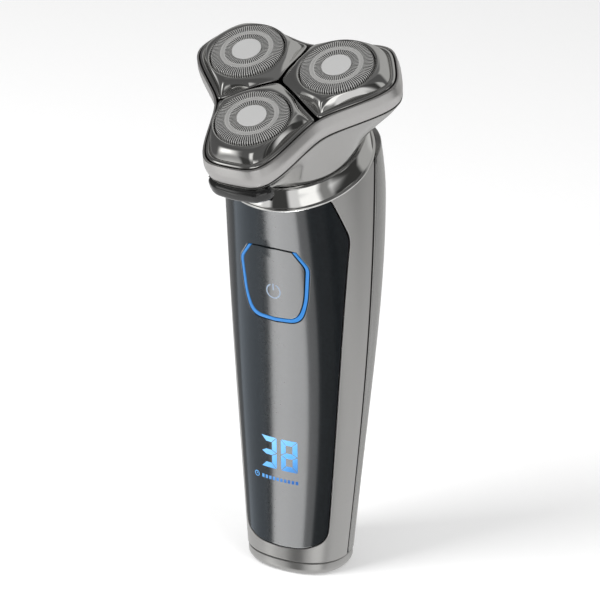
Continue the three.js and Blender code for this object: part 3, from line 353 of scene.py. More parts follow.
def on_handle(angle, z, depth=0.0):
    """A point of the handle surface at an angle and a height, set in by a depth."""
    w = half_width_at(z) - depth
    d = (front_at(z) if math.sin(angle) < 0 else rear_at(z)) - depth
    power = SECTION_POWER
    if math.sin(angle) >= 0:
        power -= NECK_ROUNDING * min(1.0, max(0.0, z - WIDEST_HEIGHT) / (1.6 * WIDEST_DROP)) ** 2
    across = (abs(math.cos(angle)) / w) ** power
    along = (abs(math.sin(angle)) / d) ** power
    radius = (across + along) ** (-1 / power)
    return Vector((radius * math.cos(angle), radius * math.sin(angle), z))


UNROLL = 20.0  # millimetres of the flat layout for each radian round the handle


def roll(s, z, depth=0.0):
    """From the flat layout of the handle, measured round it and up it, to the handle."""
    return on_handle(s / UNROLL, z, depth)


def flat_from_front(x, z):
    """From a place seen squarely from the front to the flat layout."""
    w = half_width_at(z)
    y = front_at(z) * (1 - min(abs(x) / w, 0.999) ** SECTION_POWER) ** (1 / SECTION_POWER)
    return Vector((UNROLL * math.atan2(-y, x), z))


def top_height(angle, level=COLLAR_FOOT - 0.3):
    """Height where the handle meets a level of the head frame, at an angle."""
    y0 = -HEAD_FORWARD - level * math.sin(HEAD_TILT)
    z0 = HEAD_RISE + level * math.cos(HEAD_TILT)
    z = z0
    for _ in range(12):
        z = z0 + (on_handle(angle, z).y - y0) * math.tan(HEAD_TILT)
    return z


def cross(a, b):
    return a[0] * b[1] - a[1] * b[0]


def inward(loop):
    """The direction into the region at each point of a loop that keeps the region on its left."""
    out = []
    for i, here in enumerate(loop):
        a = (here - loop[i - 1]).normalized()
        b = (loop[(i + 1) % len(loop)] - here).normalized()
        n = Vector((-a.y - b.y, a.x + b.x)).normalized()
        out.append(n / max(0.5, n.dot(Vector((-a.y, a.x)))))
    return out


def inside(points, loops):
    """Which of the points lie inside an odd number of loops."""
    hits = np.zeros(len(points), int)
    for loop in loops:
        for i, a in enumerate(loop):
            b = loop[(i + 1) % len(loop)]
            if abs(a.y - b.y) < 1e-9:
                continue
            spans = (points[:, 1] < a.y) != (points[:, 1] < b.y)
            x = a.x + (points[:, 1] - a.y) * (b.x - a.x) / (b.y - a.y)
            hits += spans & (points[:, 0] < x)
    return hits % 2 == 1


def plate(name, loops, place, finish, thickness=SKIN, rounding=0.25, steps=(1.2, 3.0), rows=5, matrix=None):
    """A closed plate that follows a surface, from outlines in its flat layout, with softly rounded edges.

    loops[0] runs anticlockwise and the rest, its holes, clockwise.
    place(s, t, depth) gives the point in space.
    """
    normals_in = [inward(loop) for loop in loops]
    inner = [[p + n * rounding for p, n in zip(loop, ns)] for loop, ns in zip(loops, normals_in)]
    flat = [p for loop in inner for p in loop]
    edges, at = [], 0
    for loop in inner:
        edges += [(at + i, at + (i + 1) % len(loop)) for i in range(len(loop))]
        at += len(loop)
    low = Vector((min(p.x for p in flat), min(p.y for p in flat)))
    high = Vector((max(p.x for p in flat), max(p.y for p in flat)))
    xs = np.arange(low.x + steps[0] / 2, high.x, steps[0])
    ys = np.arange(low.y + steps[1] / 2, high.y, steps[1])
    grid = np.array([(x + (0.5 * steps[0] if k % 2 else 0), y) for k, y in enumerate(ys) for x in xs])
    if len(grid):
        grid = grid[inside(grid, inner)]
        rim = np.array([(p.x, p.y) for p in flat])
        near = np.array([np.min(np.abs(rim - g) @ np.array([1 / steps[0], 1 / steps[1]])) for g in grid])
        flat += [Vector(g) for g, d in zip(grid, near) if d > 0.45]
    verts, _, tris, origin, _, _ = delaunay_2d_cdt(flat, edges, [], 0, 1e-6, True)
    centres = np.array([[sum(verts[i].x for i in t) / 3, sum(verts[i].y for i in t) / 3] for t in tris])
    keep = inside(centres, inner)
    index = [o[0] if o else None for o in origin]
    top = []
    for t, good in zip(tris, keep):
        if good and all(index[i] is not None for i in t):
            a, b, c = (index[i] for i in t)
            area = cross(flat[b] - flat[a], flat[c] - flat[a])
            if abs(area) > 1e-9:
                top.append((a, b, c) if area > 0 else (a, c, b))

    def facing(p):
        e = 0.02
        along = place(p.x + e, p.y, 0) - place(p.x - e, p.y, 0)
        up = place(p.x, p.y + e, 0) - place(p.x, p.y - e, 0)
        return along.cross(up).normalized()

    points = [place(p.x, p.y, 0) for p in flat]
    normals = [facing(p) for p in flat]
    faces = list(top)
    start = 0
    under = []
    for loop, ns in zip(loops, normals_in):
        size = len(loop)
        previous = list(range(start, start + size))
        start += size
        outs, ups = [], []
        for p, n in zip(loop, ns):
            ups.append(facing(p))
            outs.append((place(p.x - n.x * 0.02, p.y - n.y * 0.02, 0) - place(p.x, p.y, 0)).normalized())
        steps_down = [(rounding * (1 - math.sin(a)), rounding * (1 - math.cos(a)), a)
                      for a in (math.pi / 2 * k / rows for k in range(1, rows + 1))]
        steps_down.append((0.0, thickness, math.pi / 2))
        for inset, depth, a in steps_down:
            row = []
            for p, n, out, up in zip(loop, ns, outs, ups):
                q = p + n * inset
                row.append(len(points))
                points.append(place(q.x, q.y, depth))
                normals.append((up * math.cos(a) + out * math.sin(a)).normalized())
            for i in range(size):
                k = (i + 1) % size
                faces.append((previous[i], row[i], row[k], previous[k]))
            previous = row
        under.append((previous, ups))
    base = len(points)
    points += [place(p.x, p.y, thickness) for p in flat]
    normals += [-facing(p) for p in flat]
    faces += [(base + a, base + c, base + b) for a, b, c in top]
    start = 0
    for (rim_row, ups), loop in zip(under, loops):
        size = len(loop)
        back = []
        for j, up in zip(rim_row, ups):
            back.append(len(points))
            points.append(points[j].copy())
            normals.append(-up)
        for i in range(size):
            k = (i + 1) % size
            faces.append((back[i], base + start + i, base + start + k, back[k]))
        start += size
    return make(name, points, faces, finish, matrix, normals)


# ---- outlines on the handle ----
def panel_half(z):
    rise = (PANEL_HALF_TOP - PANEL_HALF_FOOT) / (PANEL_SHOULDER - PANEL_FOOT - 4)
    return min(PANEL_HALF_FOOT + rise * (z - PANEL_FOOT - 4), half_width_at(z) * 0.93)


def panel_side(grow):
    """Right edge of the front panel from its foot to its top, in front view."""
    corners = [(0, PANEL_FOOT - 0.3 - grow), (8.5, PANEL_FOOT + 0.2 - grow), (13.9 + grow, 12.2 - grow)]
    radii = [0, 4, 3.0]
    for z in (18, 30, 45, 60, 75, 90, 104):
        corners.append((panel_half(z) + grow, z))
        radii.append(2)
    corners += [(PANEL_HALF_TOP + grow, PANEL_SHOULDER), (17.2 + grow, PANEL_SHOULDER + 13.5)]
    radii += [3.0, 0]
    return [flat_from_front(p.x, p.y) for p in soft_corners(corners, radii, 5, closed=False)]


def mirror(points):
    """The other side of an outline in the flat layout, whose middle line is straight ahead."""
    return [Vector((-math.pi * UNROLL - p.x, p.y)) for p in reversed(points)]


def dense(points, step=2.0):
    """The same open outline with more points."""
    out = []
    for a, b in zip(points, points[1:]):
        pieces = max(1, int((b - a).length / step))
        out += [a + (b - a) * (k / pieces) for k in range(pieces)]
    return out + [points[-1]]


def top_edge(start, end, count):
    """Outline along the tilted top between two places of the flat layout."""
    return [Vector((s, top_height(s / UNROLL))) for s in np.linspace(start, end, count)]


def meet_top(points):
    """An outline cut off where it reaches the tilted top."""
    out = []
    for p in points:
        limit = top_height(p.x / UNROLL)
        if p.y >= limit:
            out.append(Vector((p.x, limit)))
            break
        out.append(p)
    return out


def button_path(margin, top):
    """The U of the power button, from its left tip round the foot to its right tip."""
    half, foot, bend = 10.0 + margin, BUTTON_FOOT - margin, 5.6 + margin
    right = [(0, foot - 0.25), (half - 3.0, foot + 0.25), (half - 0.75, foot + bend),
             (half + 0.3, BUTTON_TOP - 5), (half - 3.4, top)]
    path = soft_corners(right, [0, 4.6, 3.4, 1.6, 0], 8, closed=False)
    side = dense([flat_from_front(p.x, p.y) for p in path], 1.0)
    return mirror(side) + side[1:]


# ---- handle pieces ----
def front_panel():
    side = dense(meet_top(dense(panel_side(0.0), 1.5)), 1.5)
    other = mirror(side)
    outline = other + side[1:] + top_edge(side[-1].x, other[0].x, 24)[1:-1]
    opening = list(reversed(button_path(1.5, BUTTON_TOP + 0.06)))
    panel = plate("panel_glass", [outline, opening], roll, PANEL)
    return stand_for(panel, "handle", "black_gloss", "front_panel")


def power_pad():
    pad = plate("power_pad", [button_path(0.18, BUTTON_TOP)], roll, PANEL)
    return stand_for(pad, "power_button", "black_gloss", "power_button")


def light_guide():
    band = button_path(1.34, BUTTON_TOP - 0.1) + list(reversed(button_path(0.36, BUTTON_TOP - 0.1)))
    guide = plate("u_light_guide", [band], roll, BLUE, 1.2, 0.2)
    return stand_for(guide, "handle", "light_guide", "button_light_guide")


def side_frame():
    low = BASE_CAP_HEIGHT + 0.25
    right, left = -CREASE * UNROLL * 0.4, (-math.pi + CREASE * 0.4) * UNROLL
    edge = meet_top(dense(panel_side(0.22), 1.5))
    other = mirror(edge)
    outline = [Vector((s, low)) for s in np.linspace(left, right, 40)]
    outline += [Vector((right, z)) for z in np.linspace(low, top_height(right / UNROLL), 50)[1:]]
    outline += top_edge(right, edge[-1].x, 12)[1:-1]
    outline += list(reversed(edge)) + list(reversed(other))[1:]
    outline += top_edge(other[0].x, left, 12)[1:-1]
    outline += [Vector((left, z)) for z in np.linspace(top_height(left / UNROLL), low, 50)[:-1]]
    shell = plate("side_frame_shell", [outline], roll, SATIN, 2.4, 0.3)
    return stand_for(shell, "handle", "satin_silver", "side_frame")


def rear_cover():
    low = BASE_CAP_HEIGHT + 0.25
    a, b = CREASE * UNROLL, (math.pi - CREASE) * UNROLL
    outline = [Vector((s, low)) for s in np.linspace(a, b, 50)]
    outline += [Vector((b, z)) for z in np.linspace(low, top_height(b / UNROLL), 50)[1:]]
    outline += top_edge(b, a, 50)[1:]
    outline += [Vector((a, z)) for z in np.linspace(top_height(a / UNROLL), low, 50)[1:-1]]
    shell = plate("rear_cover_shell", [outline], roll, REAR_GREY, SKIN, 0.4)
    return stand_for(shell, "handle", "grey_gloss", "rear_cover")


def base_cap():
    count = BASE_AROUND
    profile = [(SKIN + 2.2, BASE_CAP_HEIGHT), (0.35, BASE_CAP_HEIGHT), (0.1, BASE_CAP_HEIGHT - 0.25)]
    profile += [(0.1, 2.2)]
    profile += [(0.1 + 2.3 * (1 - math.cos(a)), 2.2 - 2.2 * math.sin(a))
                for a in np.linspace(0.15, math.pi / 2, 9)]
    rings = [[on_handle(TURN * j / count, 2.0, depth).xy.to_3d() + Vector((0, 0, z)) for j in range(count)]
             for depth, z in reversed(profile)]
    half, front, back = 4.7, SOCKET_Y - 1.75, SOCKET_Y + 1.75
    slot = soft_corners([(-half, front), (-half, back), (half, back), (half, front)], [1.6] * 4, 6)
    flat = [p.xy for p in rings[0]] + slot
    ring_edges = [(i, (i + 1) % count) for i in range(count)]
    slot_edges = [(count + i, count + (i + 1) % len(slot)) for i in range(len(slot))]
    verts, _, tris, origin, _, _ = delaunay_2d_cdt(flat, ring_edges + slot_edges, [], 0, 1e-6, True)
    centres = np.array([[sum(verts[i].x for i in t) / 3, sum(verts[i].y for i in t) / 3] for t in tris])
    keep = inside(centres, [flat[:count], slot])
    points, faces = loft(rings, start=False, end=False)
    first = len(points)
    points += [Vector((p.x, p.y, 0)) for p in slot] + [Vector((p.x, p.y, 6)) for p in slot]
    index = [(o[0] if o[0] < count else first + o[0] - count) if o else 0 for o in origin]
    for t, good in zip(tris, keep):
        if good:
            a, b, c = (index[i] for i in t)
            turn = cross((points[b] - points[a]).xy, (points[c] - points[a]).xy)
            faces.append((a, c, b) if turn > 0 else (a, b, c))
    size = len(slot)
    for i in range(size):
        k = (i + 1) % size
        faces.append((first + i, first + k, first + size + k, first + size + i))
    cap = make("base_cap_shell", points, faces, SATIN)
    return stand_for(cap, "handle", "satin_silver", "base_cap")


# ---- the display and the power symbol ----
def segments(x, z, wide, tall, lit):
    """Outlines of the lit bars of a seven-bar digit whose lower left corner is at x, z."""
    t, g = 0.32 * wide, 0.13
    m = tall / 2
    right, low, high = wide - t, m - t / 2, m + t / 2
    bars = {
        "top": [(g, tall), (t + 0.05, tall - t), (wide - t - 0.05, tall - t), (wide - g, tall)],
        "foot": [(g, 0), (wide - g, 0), (wide - t - 0.05, t), (t + 0.05, t)],
        "middle": [(0.25, m), (t, low), (right, low), (wide - 0.25, m), (right, high), (t, high)],
        "upper_left": [(0, tall - g), (0, m + g), (t - g, high + g), (t - g, tall - t - g / 2)],
        "lower_left": [(0, g), (t - g, t + g / 2), (t - g, low - g), (0, m - g)],
        "upper_right": [(wide, tall - g), (right + g, tall - t - g / 2), (right + g, high + g), (wide, m + g)],
        "lower_right": [(wide, g), (wide, m - g), (right + g, low - g), (right + g, t + g / 2)],
    }
    return [[(x + px, z + pz) for px, pz in bars[name]] for name in lit]


def tick(x, z, wide, tall):
    return [(x, z), (x + wide, z), (x + wide, z + tall), (x, z + tall)]


def ring_loops(x, z, radius, width, count=40, start=0.0, sweep=TURN):
    """A ring or an arc as one outline, laid out as a thin band."""
    angles = [start + sweep * k / count for k in range(count + 1)]
    outer = [(x + radius * math.cos(a), z + radius * math.sin(a)) for a in angles]
    inner = [(x + (radius - width) * math.cos(a), z + (radius - width) * math.sin(a)) for a in reversed(angles)]
    return outer + inner


def print_on(name, outlines, finish, lift=0.04):
    """Thin raised marks that follow the front of the handle, as one object."""
    def raised(s, z, depth):
        return roll(s, z, depth - lift)

    marks = []
    for k, outline in enumerate(outlines):
        loop = dense([flat_from_front(*p) for p in outline] + [flat_from_front(*outline[0])], 0.8)[:-1]
        if sum(cross(a, b) for a, b in zip(loop, loop[1:] + loop[:1])) < 0:
            loop.reverse()
        marks.append(plate(f"{name}_{k}", [loop], raised, finish, 0.12, 0.03, (0.8, 0.8), 2))
    chosen = {"active_object": marks[0], "selected_editable_objects": marks, "selected_objects": marks}
    with bpy.context.temp_override(**chosen):
        bpy.ops.object.join()
    marks[0].name = name
    return marks[0]


def display():
    shared = ["top", "middle", "foot"]
    right = ["upper_right", "lower_right"]
    left = ["upper_left", "lower_left"]
    three = segments(-6.5, DIGIT_FOOT, DIGIT_WIDTH, DIGIT_HEIGHT, shared + right)
    eight = segments(0.5, DIGIT_FOOT, DIGIT_WIDTH, DIGIT_HEIGHT, shared + left + right)
    clock = [ring_loops(-8.4, 31.6, 0.95, 0.25), tick(-8.5, 31.5, 0.2, 0.6), tick(-8.5, 31.5, 0.5, 0.2)]
    level = [tick(-6.4 + 1.3 * k, 31.0, 0.85, 1.15) for k in range(LEVEL_TICKS)]
    digits = print_on("display_digits", three + eight + clock + level, DIGITS)
    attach(digits, "handle")


def power_symbol():
    ring = ring_loops(0, SYMBOL_HEIGHT, 2.45, 0.42, 44, math.radians(112), math.radians(316))
    bar = tick(-0.22, SYMBOL_HEIGHT + 0.3, 0.44, 2.2)
    symbol = print_on("power_symbol", [ring, bar], ICON)
    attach(symbol, "power_button")


# ---- head surfaces ----
def lobe_reach(angle, offset):
    tip = max(math.cos(angle), 0) / (LOBE_TIP + offset)
    lean = abs(math.sin(angle)) * math.cos(LOBE_TAPER) + math.cos(angle) * math.sin(LOBE_TAPER)
    side = max(lean, 0.01) / (LOBE_SIDE + offset)
    return (tip ** 8 + side ** 8) ** (-1 / 8)


def head_reach(angle, offset):
    third = TURN / 3
    own = angle + math.pi / 2 - third * round((angle + math.pi / 2) / third)
    return (lobe_reach(own, offset) ** 16 + lobe_reach(third - abs(own), offset) ** 16) ** (1 / 16)


def head_ring(offset, level, blend=1.0, radius=0.0, around=300):
    ring = []
    for j in range(around):
        angle = TURN * j / around
        reach = blend * head_reach(angle, offset) + (1 - blend) * radius
        ring.append(Vector((reach * math.cos(angle), reach * math.sin(angle), level)))
    return ring


def neck_ring():
    r = COLLAR_RADIUS
    corners = [(4.2, COLLAR_FOOT), (r, COLLAR_FOOT), (r, COLLAR_FOOT + 0.75), (r - 0.55, COLLAR_FOOT + 1.0),
               (r - 1.05, COLLAR_FOOT + 3.4), (r - 1.6, COLLAR_TOP - 0.15), (r - 3.0, COLLAR_TOP - 0.15),
               (r - 3.4, COLLAR_FOOT + 1.5), (4.2, COLLAR_FOOT + 1.5)]
    profile = soft_corners(corners, [0, 0.3, 0.3, 0.25, 2.4, 0.5, 0.3, 0, 0], 5)
    rings = [circle(p.x, p.y, -0.8 * max(0.0, min(1.0, (COLLAR_TOP - p.y) / 6)), 256) for p in profile]
    points, faces = loft(rings, looped=True)
    collar = make("neck_collar", points, faces, CHROME, HEAD, sharp=40)
    return stand_for(collar, "handle", "chrome", "neck_ring")


# Level, offset and share of the lobes at each station of the head base.
BOWL = ((SEAM_LEVEL - 0.25, 0.9, 1.0), (-14.0, 0.6, 0.88), (-17.0, 0.3, 0.62), (-20.5, 0.0, 0.3),
        (COLLAR_TOP, 0.0, 0.0))


def bowl_at(level):
    """Offset and blend of the head base skin at a level, on a smooth curve through its stations."""
    for (z1, o1, b1), (z2, o2, b2) in zip(BOWL, BOWL[1:]):
        if z2 <= level <= z1:
            t = (z1 - level) / (z1 - z2)
            return o1 + (o2 - o1) * t, b1 + (b2 - b1) * t
    return BOWL[-1][1:]


def smooth_bowl(level):
    """The same, averaged over a millimetre or two so the stations leave no crease."""
    span = min(1.6, BOWL[0][0] - level, level - COLLAR_TOP)
    samples = [bowl_at(level + span * k / 4) for k in range(-4, 5)]
    return sum(s[0] for s in samples) / 9, sum(s[1] for s in samples) / 9


def release_outline(grow=0.0):
    """Plan of the release button, its curved face to the front."""
    w, back, front = 10.2 + grow, -30.0 + grow, -35.0 - grow
    corners = [(-w, back), (-w, -32.0), (-7.4, front + 0.5), (0, front - 0.4), (7.4, front + 0.5)]
    corners += [(w, -32.0), (w, back)]
    return soft_corners(corners, [0.3, 1.8, 2.4, 5, 2.4, 1.8, 0.3], 7)


def slab(name, outline, low, high, rounding, finish, matrix, crown=0.0):
    """A slab of an anticlockwise outline between two levels, with rounded edges above and below."""
    sides = inward(outline)
    rows = [(rounding * (1 - math.sin(a)), low + rounding * (1 - math.cos(a)))
            for a in np.linspace(0, math.pi / 2, 7)]
    rows += [(inset, high - (level - low)) for inset, level in reversed(rows)]
    rings = [[Vector((p.x + n.x * inset, p.y + n.y * inset, level)) for p, n in zip(outline, sides)]
             for inset, level in rows]
    points, faces = loft(rings)
    return make(name, points, faces, finish, matrix, sharp=50)


def carve(body, cutter):
    """Cuts the cutter out of the body and removes the cutter."""
    cut = body.modifiers.new("cut", "BOOLEAN")
    cut.operation = "DIFFERENCE"
    cut.solver = "FAST"
    cut.object = cutter
    graph = bpy.context.evaluated_depsgraph_get()
    body.data = bpy.data.meshes.new_from_object(body.evaluated_get(graph))
    body.modifiers.clear()
    bpy.data.objects.remove(cutter)
    body.data.shade_smooth()
    body.data.set_sharp_from_angle(angle=math.radians(38))


def head_base():
    rings = []
    rim = SEAM_LEVEL - 0.5
    for z in np.linspace(COLLAR_TOP, rim - 0.15, 26):
        offset, blend = smooth_bowl(z)
        rings.append(head_ring(offset, z, blend, NECK_RADIUS))
    for a in np.linspace(0, math.pi / 2, 4)[1:]:
        rings.append(head_ring(0.85 - 0.15 * (1 - math.cos(a)), rim - 0.15 + 0.15 * math.sin(a)))
    rings.append(head_ring(-1.2, rim))
    rings.append(head_ring(-1.0, -12.9, 0.93, NECK_RADIUS - 1.8))
    rings.append(head_ring(0, -12.9, 0, 8.0))
    rings.append(head_ring(0, COLLAR_TOP, 0, 8.0))
    points, faces = loft(rings, looped=True)
    bowl = make("head_base_bowl", points, faces, GLOSS_GREY, HEAD, sharp=38)
    low, high = RELEASE_TOP - 5.15, RELEASE_TOP + 0.3
    cutter = slab("release_room", release_outline(0.35), low, high, 1.6, DARK, HEAD)
    carve(bowl, cutter)
    return stand_for(bowl, "handle", "grey_gloss", "head_base")


def hinge_lugs():
    """The two ears of the head base that hold the hinge pin, and the eye of the head cover between them."""
    ear = [(18.7, -12.4), (22.5, -12.3), (26.2, -11.6), (27.8, -13.4), (26.6, -15.4), (21, -19.5), (18.7, -19.5)]
    ear = soft_corners(ear, [0, 1, 1.4, 1.5, 1.3, 0.5, 0], 6)
    eye = [(19.4, -7.6), (20.8, -7.9), (26.6, -11.7), (27.9, -13.4), (26.6, -15.3), (24.9, -14.9)]
    eye += [(21.3, -11.4), (19.4, -11.0)]
    eye = soft_corners(eye, [0, 0.6, 1.2, 1.5, 1.2, 0.6, 0.6, 0], 6)
    lay = HEAD @ Matrix(((0, 0, 1, 0), (1, 0, 0, 0), (0, 1, 0, 0), (0, 0, 0, 1)))
    lugs = (("ear_left", ear, -6.6, -3.7, GLOSS_GREY), ("ear_right", ear, 3.7, 6.6, GLOSS_GREY),
            ("eye", eye, -3.3, 3.3, COVER_SATIN))
    made = []
    for name, side, low, high, finish in lugs:
        loop = list(reversed(side))
        if sum(cross(a, b) for a, b in zip(loop, loop[1:] + loop[:1])) < 0:
            loop.reverse()
        made.append(slab("hinge_" + name, loop, low, high, 0.35, finish, lay))
    for piece in made[:2]:
        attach(piece, "handle")
    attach(made[2], "cover")


def release_button():
    button = slab("release_pad", release_outline(), RELEASE_TOP - 4.8, RELEASE_TOP, 1.7, BLACK, HEAD)
    tongue = soft_corners([(-4, -31), (4, -31), (4, -24.4), (-4, -24.4)], [0.3, 0.3, 0.8, 0.8], 4)
    arm = slab("release_tongue", tongue, RELEASE_TOP - 4.8, RELEASE_TOP - 3.6, 0.2, DARK, HEAD)
    stand_for(button, "release_button", "black_gloss", "head_release_button")
    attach(arm, "release_button")


def head_cover():
    corners = [(0.85, SEAM_LEVEL), (1.25, -9.2), (1.38, -7.8), (1.15, -5.9), (0.95, RIM_LEVEL)]
    corners += [(0.42, RIM_LEVEL), (0.42, -7.8), (-0.5, -9.4), (-3.0, -9.4), (-3.0, SEAM_LEVEL)]
    profile = soft_corners(corners, [0.15, 1.2, 1.2, 1.0, 0.4, 0.15, 0.3, 0.3, 0.2, 0.2], 5)
    points, faces = loft([head_ring(p.x, p.y, around=420) for p in profile], looped=True)
    cover = make("head_cover_shell", points, faces, COVER_SATIN, HEAD, sharp=40)
    return stand_for(cover, "cover", "satin_silver", "head_cover")


# ---- shaving units ----
def petal_reach(angle):
    """Distance from the cap axis to the petal edge in a direction."""
    near, far = 5.0, 25.0
    for _ in range(30):
        r = (near + far) / 2
        x, y = CAP_ARM + r * math.cos(angle), r * math.sin(angle)
        if math.hypot(x, y) < head_reach(math.atan2(y, x) - math.pi / 2, 0.05):
            near = r
        else:
            far = r
    groove = CAP_ARM * math.sin(math.pi / 3) - GROOVE_HALF
    walls = [max(math.cos(angle - t), 0) / groove for t in (math.radians(150), -math.radians(150))]
    return sum(v ** 26 for v in (1 / near, *walls)) ** (-1 / 26)


def edge_level(x, y):
    """Level of a petal's edge: high by the hub, low round the rim."""
    t = min(1.0, max(0.0, (math.hypot(x, y) - 3.0) / 16.0))
    return -1.7 + (RIM_LEVEL + 1.7) * t * t * (3 - 2 * t)


def petal(side, degrees):
    around = 300
    inner = CAP_RADIUS + 0.28
    rings = []
    reach = [petal_reach(TURN * j / around) for j in range(around)]

    def ring(at):
        out = []
        for j in range(around):
            angle = TURN * j / around
            r, z = at(angle, reach[j])
            out.append(Vector((r * math.cos(angle), r * math.sin(angle), z)))
        return out

    def edge_of(angle, r):
        return edge_level(CAP_ARM + r * math.cos(angle), r * math.sin(angle))

    def rim(angle, far):
        """Level of the edge, how far it is beaded there, and where the bead starts."""
        low = edge_of(angle, far)
        beaded = min(1.0, max(0.0, (-low - 2.6) / 1.4))
        return low, beaded, far - 0.25 - 1.05 * beaded

    def body(share):
        def at(angle, far):
            low, beaded, end = rim(angle, far)
            r = inner + 0.5 + share * (end - inner - 0.5)
            crest, foot = -0.35, low + 0.35 - 0.1 * beaded
            return r, foot + (crest - foot) * math.cos(math.pi / 2 * share ** 1.25)
        return at

    def bead(turn):
        def at(angle, far):
            low, beaded, start = rim(angle, far)
            r = start + (far - 0.02 - start) * (1 - math.cos(turn)) / 2
            rise = 0.42 * math.sin(turn) * beaded
            return r, low + 0.35 - 0.1 * beaded + rise - 0.35 * (turn / math.pi) ** 3
        return at

    def eased(t):
        return lambda a, f: (inner + HOLE_ROUND * (1 - math.cos(t)), HOLE_EDGE + HOLE_ROUND * math.sin(t))

    rings.append(ring(lambda a, f: (inner, PETAL_FOOT)))
    rings.append(ring(lambda a, f: (inner, HOLE_EDGE)))
    for k in range(1, 6):
        rings.append(ring(eased(math.pi / 2 * k / 5)))
    for k in range(1, 15):
        rings.append(ring(body(k / 14)))
    for k in range(1, 13):
        rings.append(ring(bead(math.pi * k / 12)))
    rings.append(ring(lambda a, f: (f, edge_of(a, f) - 0.5)))
    rings.append(ring(lambda a, f: (f, PETAL_FOOT)))
    rings.reverse()
    points, faces = loft(rings, looped=True)
    shell = make("petal_" + side, points, faces, CHROME, unit_matrix(degrees), sharp=60)
    return stand_for(shell, "unit_" + side, "chrome", "petal_frame_" + side)


def slotted_zone(rows, slots, cut_from, cut_to):
    """Rings about Z with every second cell left out between two rows, so slots show between ribs."""
    around = slots * 2
    points = []
    for r, z in rows:
        for j in range(around):
            k, odd = divmod(j, 2)
            angle = TURN * (k + (0.54 if odd else 0.0)) / slots
            points.append(Vector((r * math.cos(angle), r * math.sin(angle), z)))
    faces = []
    for i in range(len(rows) - 1):
        for j in range(around):
            if cut_from <= i < cut_to and j % 2:
                continue
            k = (j + 1) % around
            faces.append((i * around + j, i * around + k, (i + 1) * around + k, (i + 1) * around + j))
    return points, faces


def shaving_cap(side, degrees):
    r = CAP_RADIUS - 0.05
    outer = [(r, -3.9), (r, -1.6), (r, -0.95), (r - 0.05, -0.5), (r - 0.2, -0.12), (r - 0.48, 0.15)]
    outer += [(r - 0.9, 0.31), (9.4, 0.37), (8.9, 0.38), (8.4, 0.38), (7.95, 0.38), (7.55, 0.38)]
    middle = [(7.55, 0.38), (7.42, 0.37), (7.36, 0.22), (7.2, 0.17), (7.04, 0.22), (6.98, 0.37)]
    middle += [(6.85, 0.38), (6.55, 0.38), (6.0, 0.38), (5.4, 0.38), (4.8, 0.37), (4.62, 0.3)]
    middle += [(4.56, 0.1), (4.54, -0.25), (2.0, -0.28), (0.05, -0.28)]
    a_points, a_faces = slotted_zone(outer, OUTER_SLOTS, 2, 10)
    b_points, b_faces = slotted_zone(middle, INNER_SLOTS, 7, 11)
    shift = len(a_points)
    faces = a_faces + [tuple(i + shift for i in f) for f in b_faces]
    cap = make("cap_" + side, a_points + b_points, faces, CAP_STEEL, unit_matrix(degrees), sharp=45)
    skin = cap.modifiers.new("wall", "SOLIDIFY")
    skin.thickness = CAP_WALL * MM
    skin.offset = -1
    # The inner wall and slot sides get the near-black painted-shade material, so the slots show dark.
    cap.data.materials.append(CAP_INSIDE_SHADE)
    skin.material_offset = 1
    skin.material_offset_rim = 1
    return stand_for(cap, "unit_" + side, "steel", "shaving_cap_" + side)


def cap_disc(side, degrees):
    r = DISC_RADIUS
    profile = [(0, -0.1), (r - 0.1, -0.1)]
    profile += [(r - 0.28 * (1 - math.cos(a)), 0.42 + 0.2 * math.sin(a)) for a in np.linspace(0, math.pi / 2, 6)]
    profile += [(r * 0.7, 0.655), (r * 0.4, 0.675), (0, 0.685)]
    disc = turned("disc_" + side, profile, DISC_STEEL, unit_matrix(degrees), 96, 50)
    return stand_for(disc, "unit_" + side, "satin_steel", "cap_disc_" + side)


# ---- frame nodes that stay ----
KEPT = {
    "charging_socket": STEEL, "inner_chassis": DARK, "battery_cell": WRAP, "battery_tab_top": STEEL,
    "main_board": BOARD, "display_module": DARK, "power_switch": STEEL, "neck_seal": RUBBER,
    "motor_body": STEEL, "motor_mount": DARK, "motor_shaft": STEEL, "motor_pinion": BRASS,
    "gear_plate": DARK, "hinge_pin": STEEL,
    "retaining_frame": DARK, "retaining_knob": DARK,
}


def keep_nodes():
    """Materials and eased edges for the frame's own inner pieces."""
    finishes = dict(KEPT)
    for k in range(1, 5):
        finishes[f"board_screw_{k}"] = STEEL
    for side, _ in SIDES:
        # Cutter blades take the darkened steel, painted shade for the inside of the head.
        finishes.update({"drive_gear_" + side: PALE, "drive_spindle_" + side: STEEL,
                         "cutter_blades_" + side: CUTTER_SHADED, "cutter_hub_" + side: DARK})
    for name, finish in finishes.items():
        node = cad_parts[name]
        node.data.materials.clear()
        node.data.materials.append(finish)
        ease = node.modifiers.new("eased_edges", "BEVEL")
        ease.width = 0.08 * MM
        ease.segments = 2
        ease.limit_method = "ANGLE"
        ease.angle_limit = math.radians(38)


# ---- studio ----
def card(name, size, location, target, power, color=(1, 1, 1), only=None):
    """A soft rectangular studio light that reflections miss, unless only limits it to some pieces."""
    data = bpy.data.lights.new(name, "AREA")
    data.shape = "RECTANGLE"
    data.size, data.size_y = size
    data.energy = power
    data.color = color
    made = bpy.data.objects.new(name, data)
    bpy.context.scene.collection.objects.link(made)
    made.location = location
    made.rotation_mode = "QUATERNION"
    made.rotation_quaternion = (Vector(location) - Vector(target)).to_track_quat("Z", "Y")
    made.visible_camera = False
    made.visible_glossy = bool(only)
    if only:
        group = bpy.data.collections.new(name + "_on")
        for piece in only:
            group.objects.link(piece)
        made.light_linking.receiver_collection = group
    return made


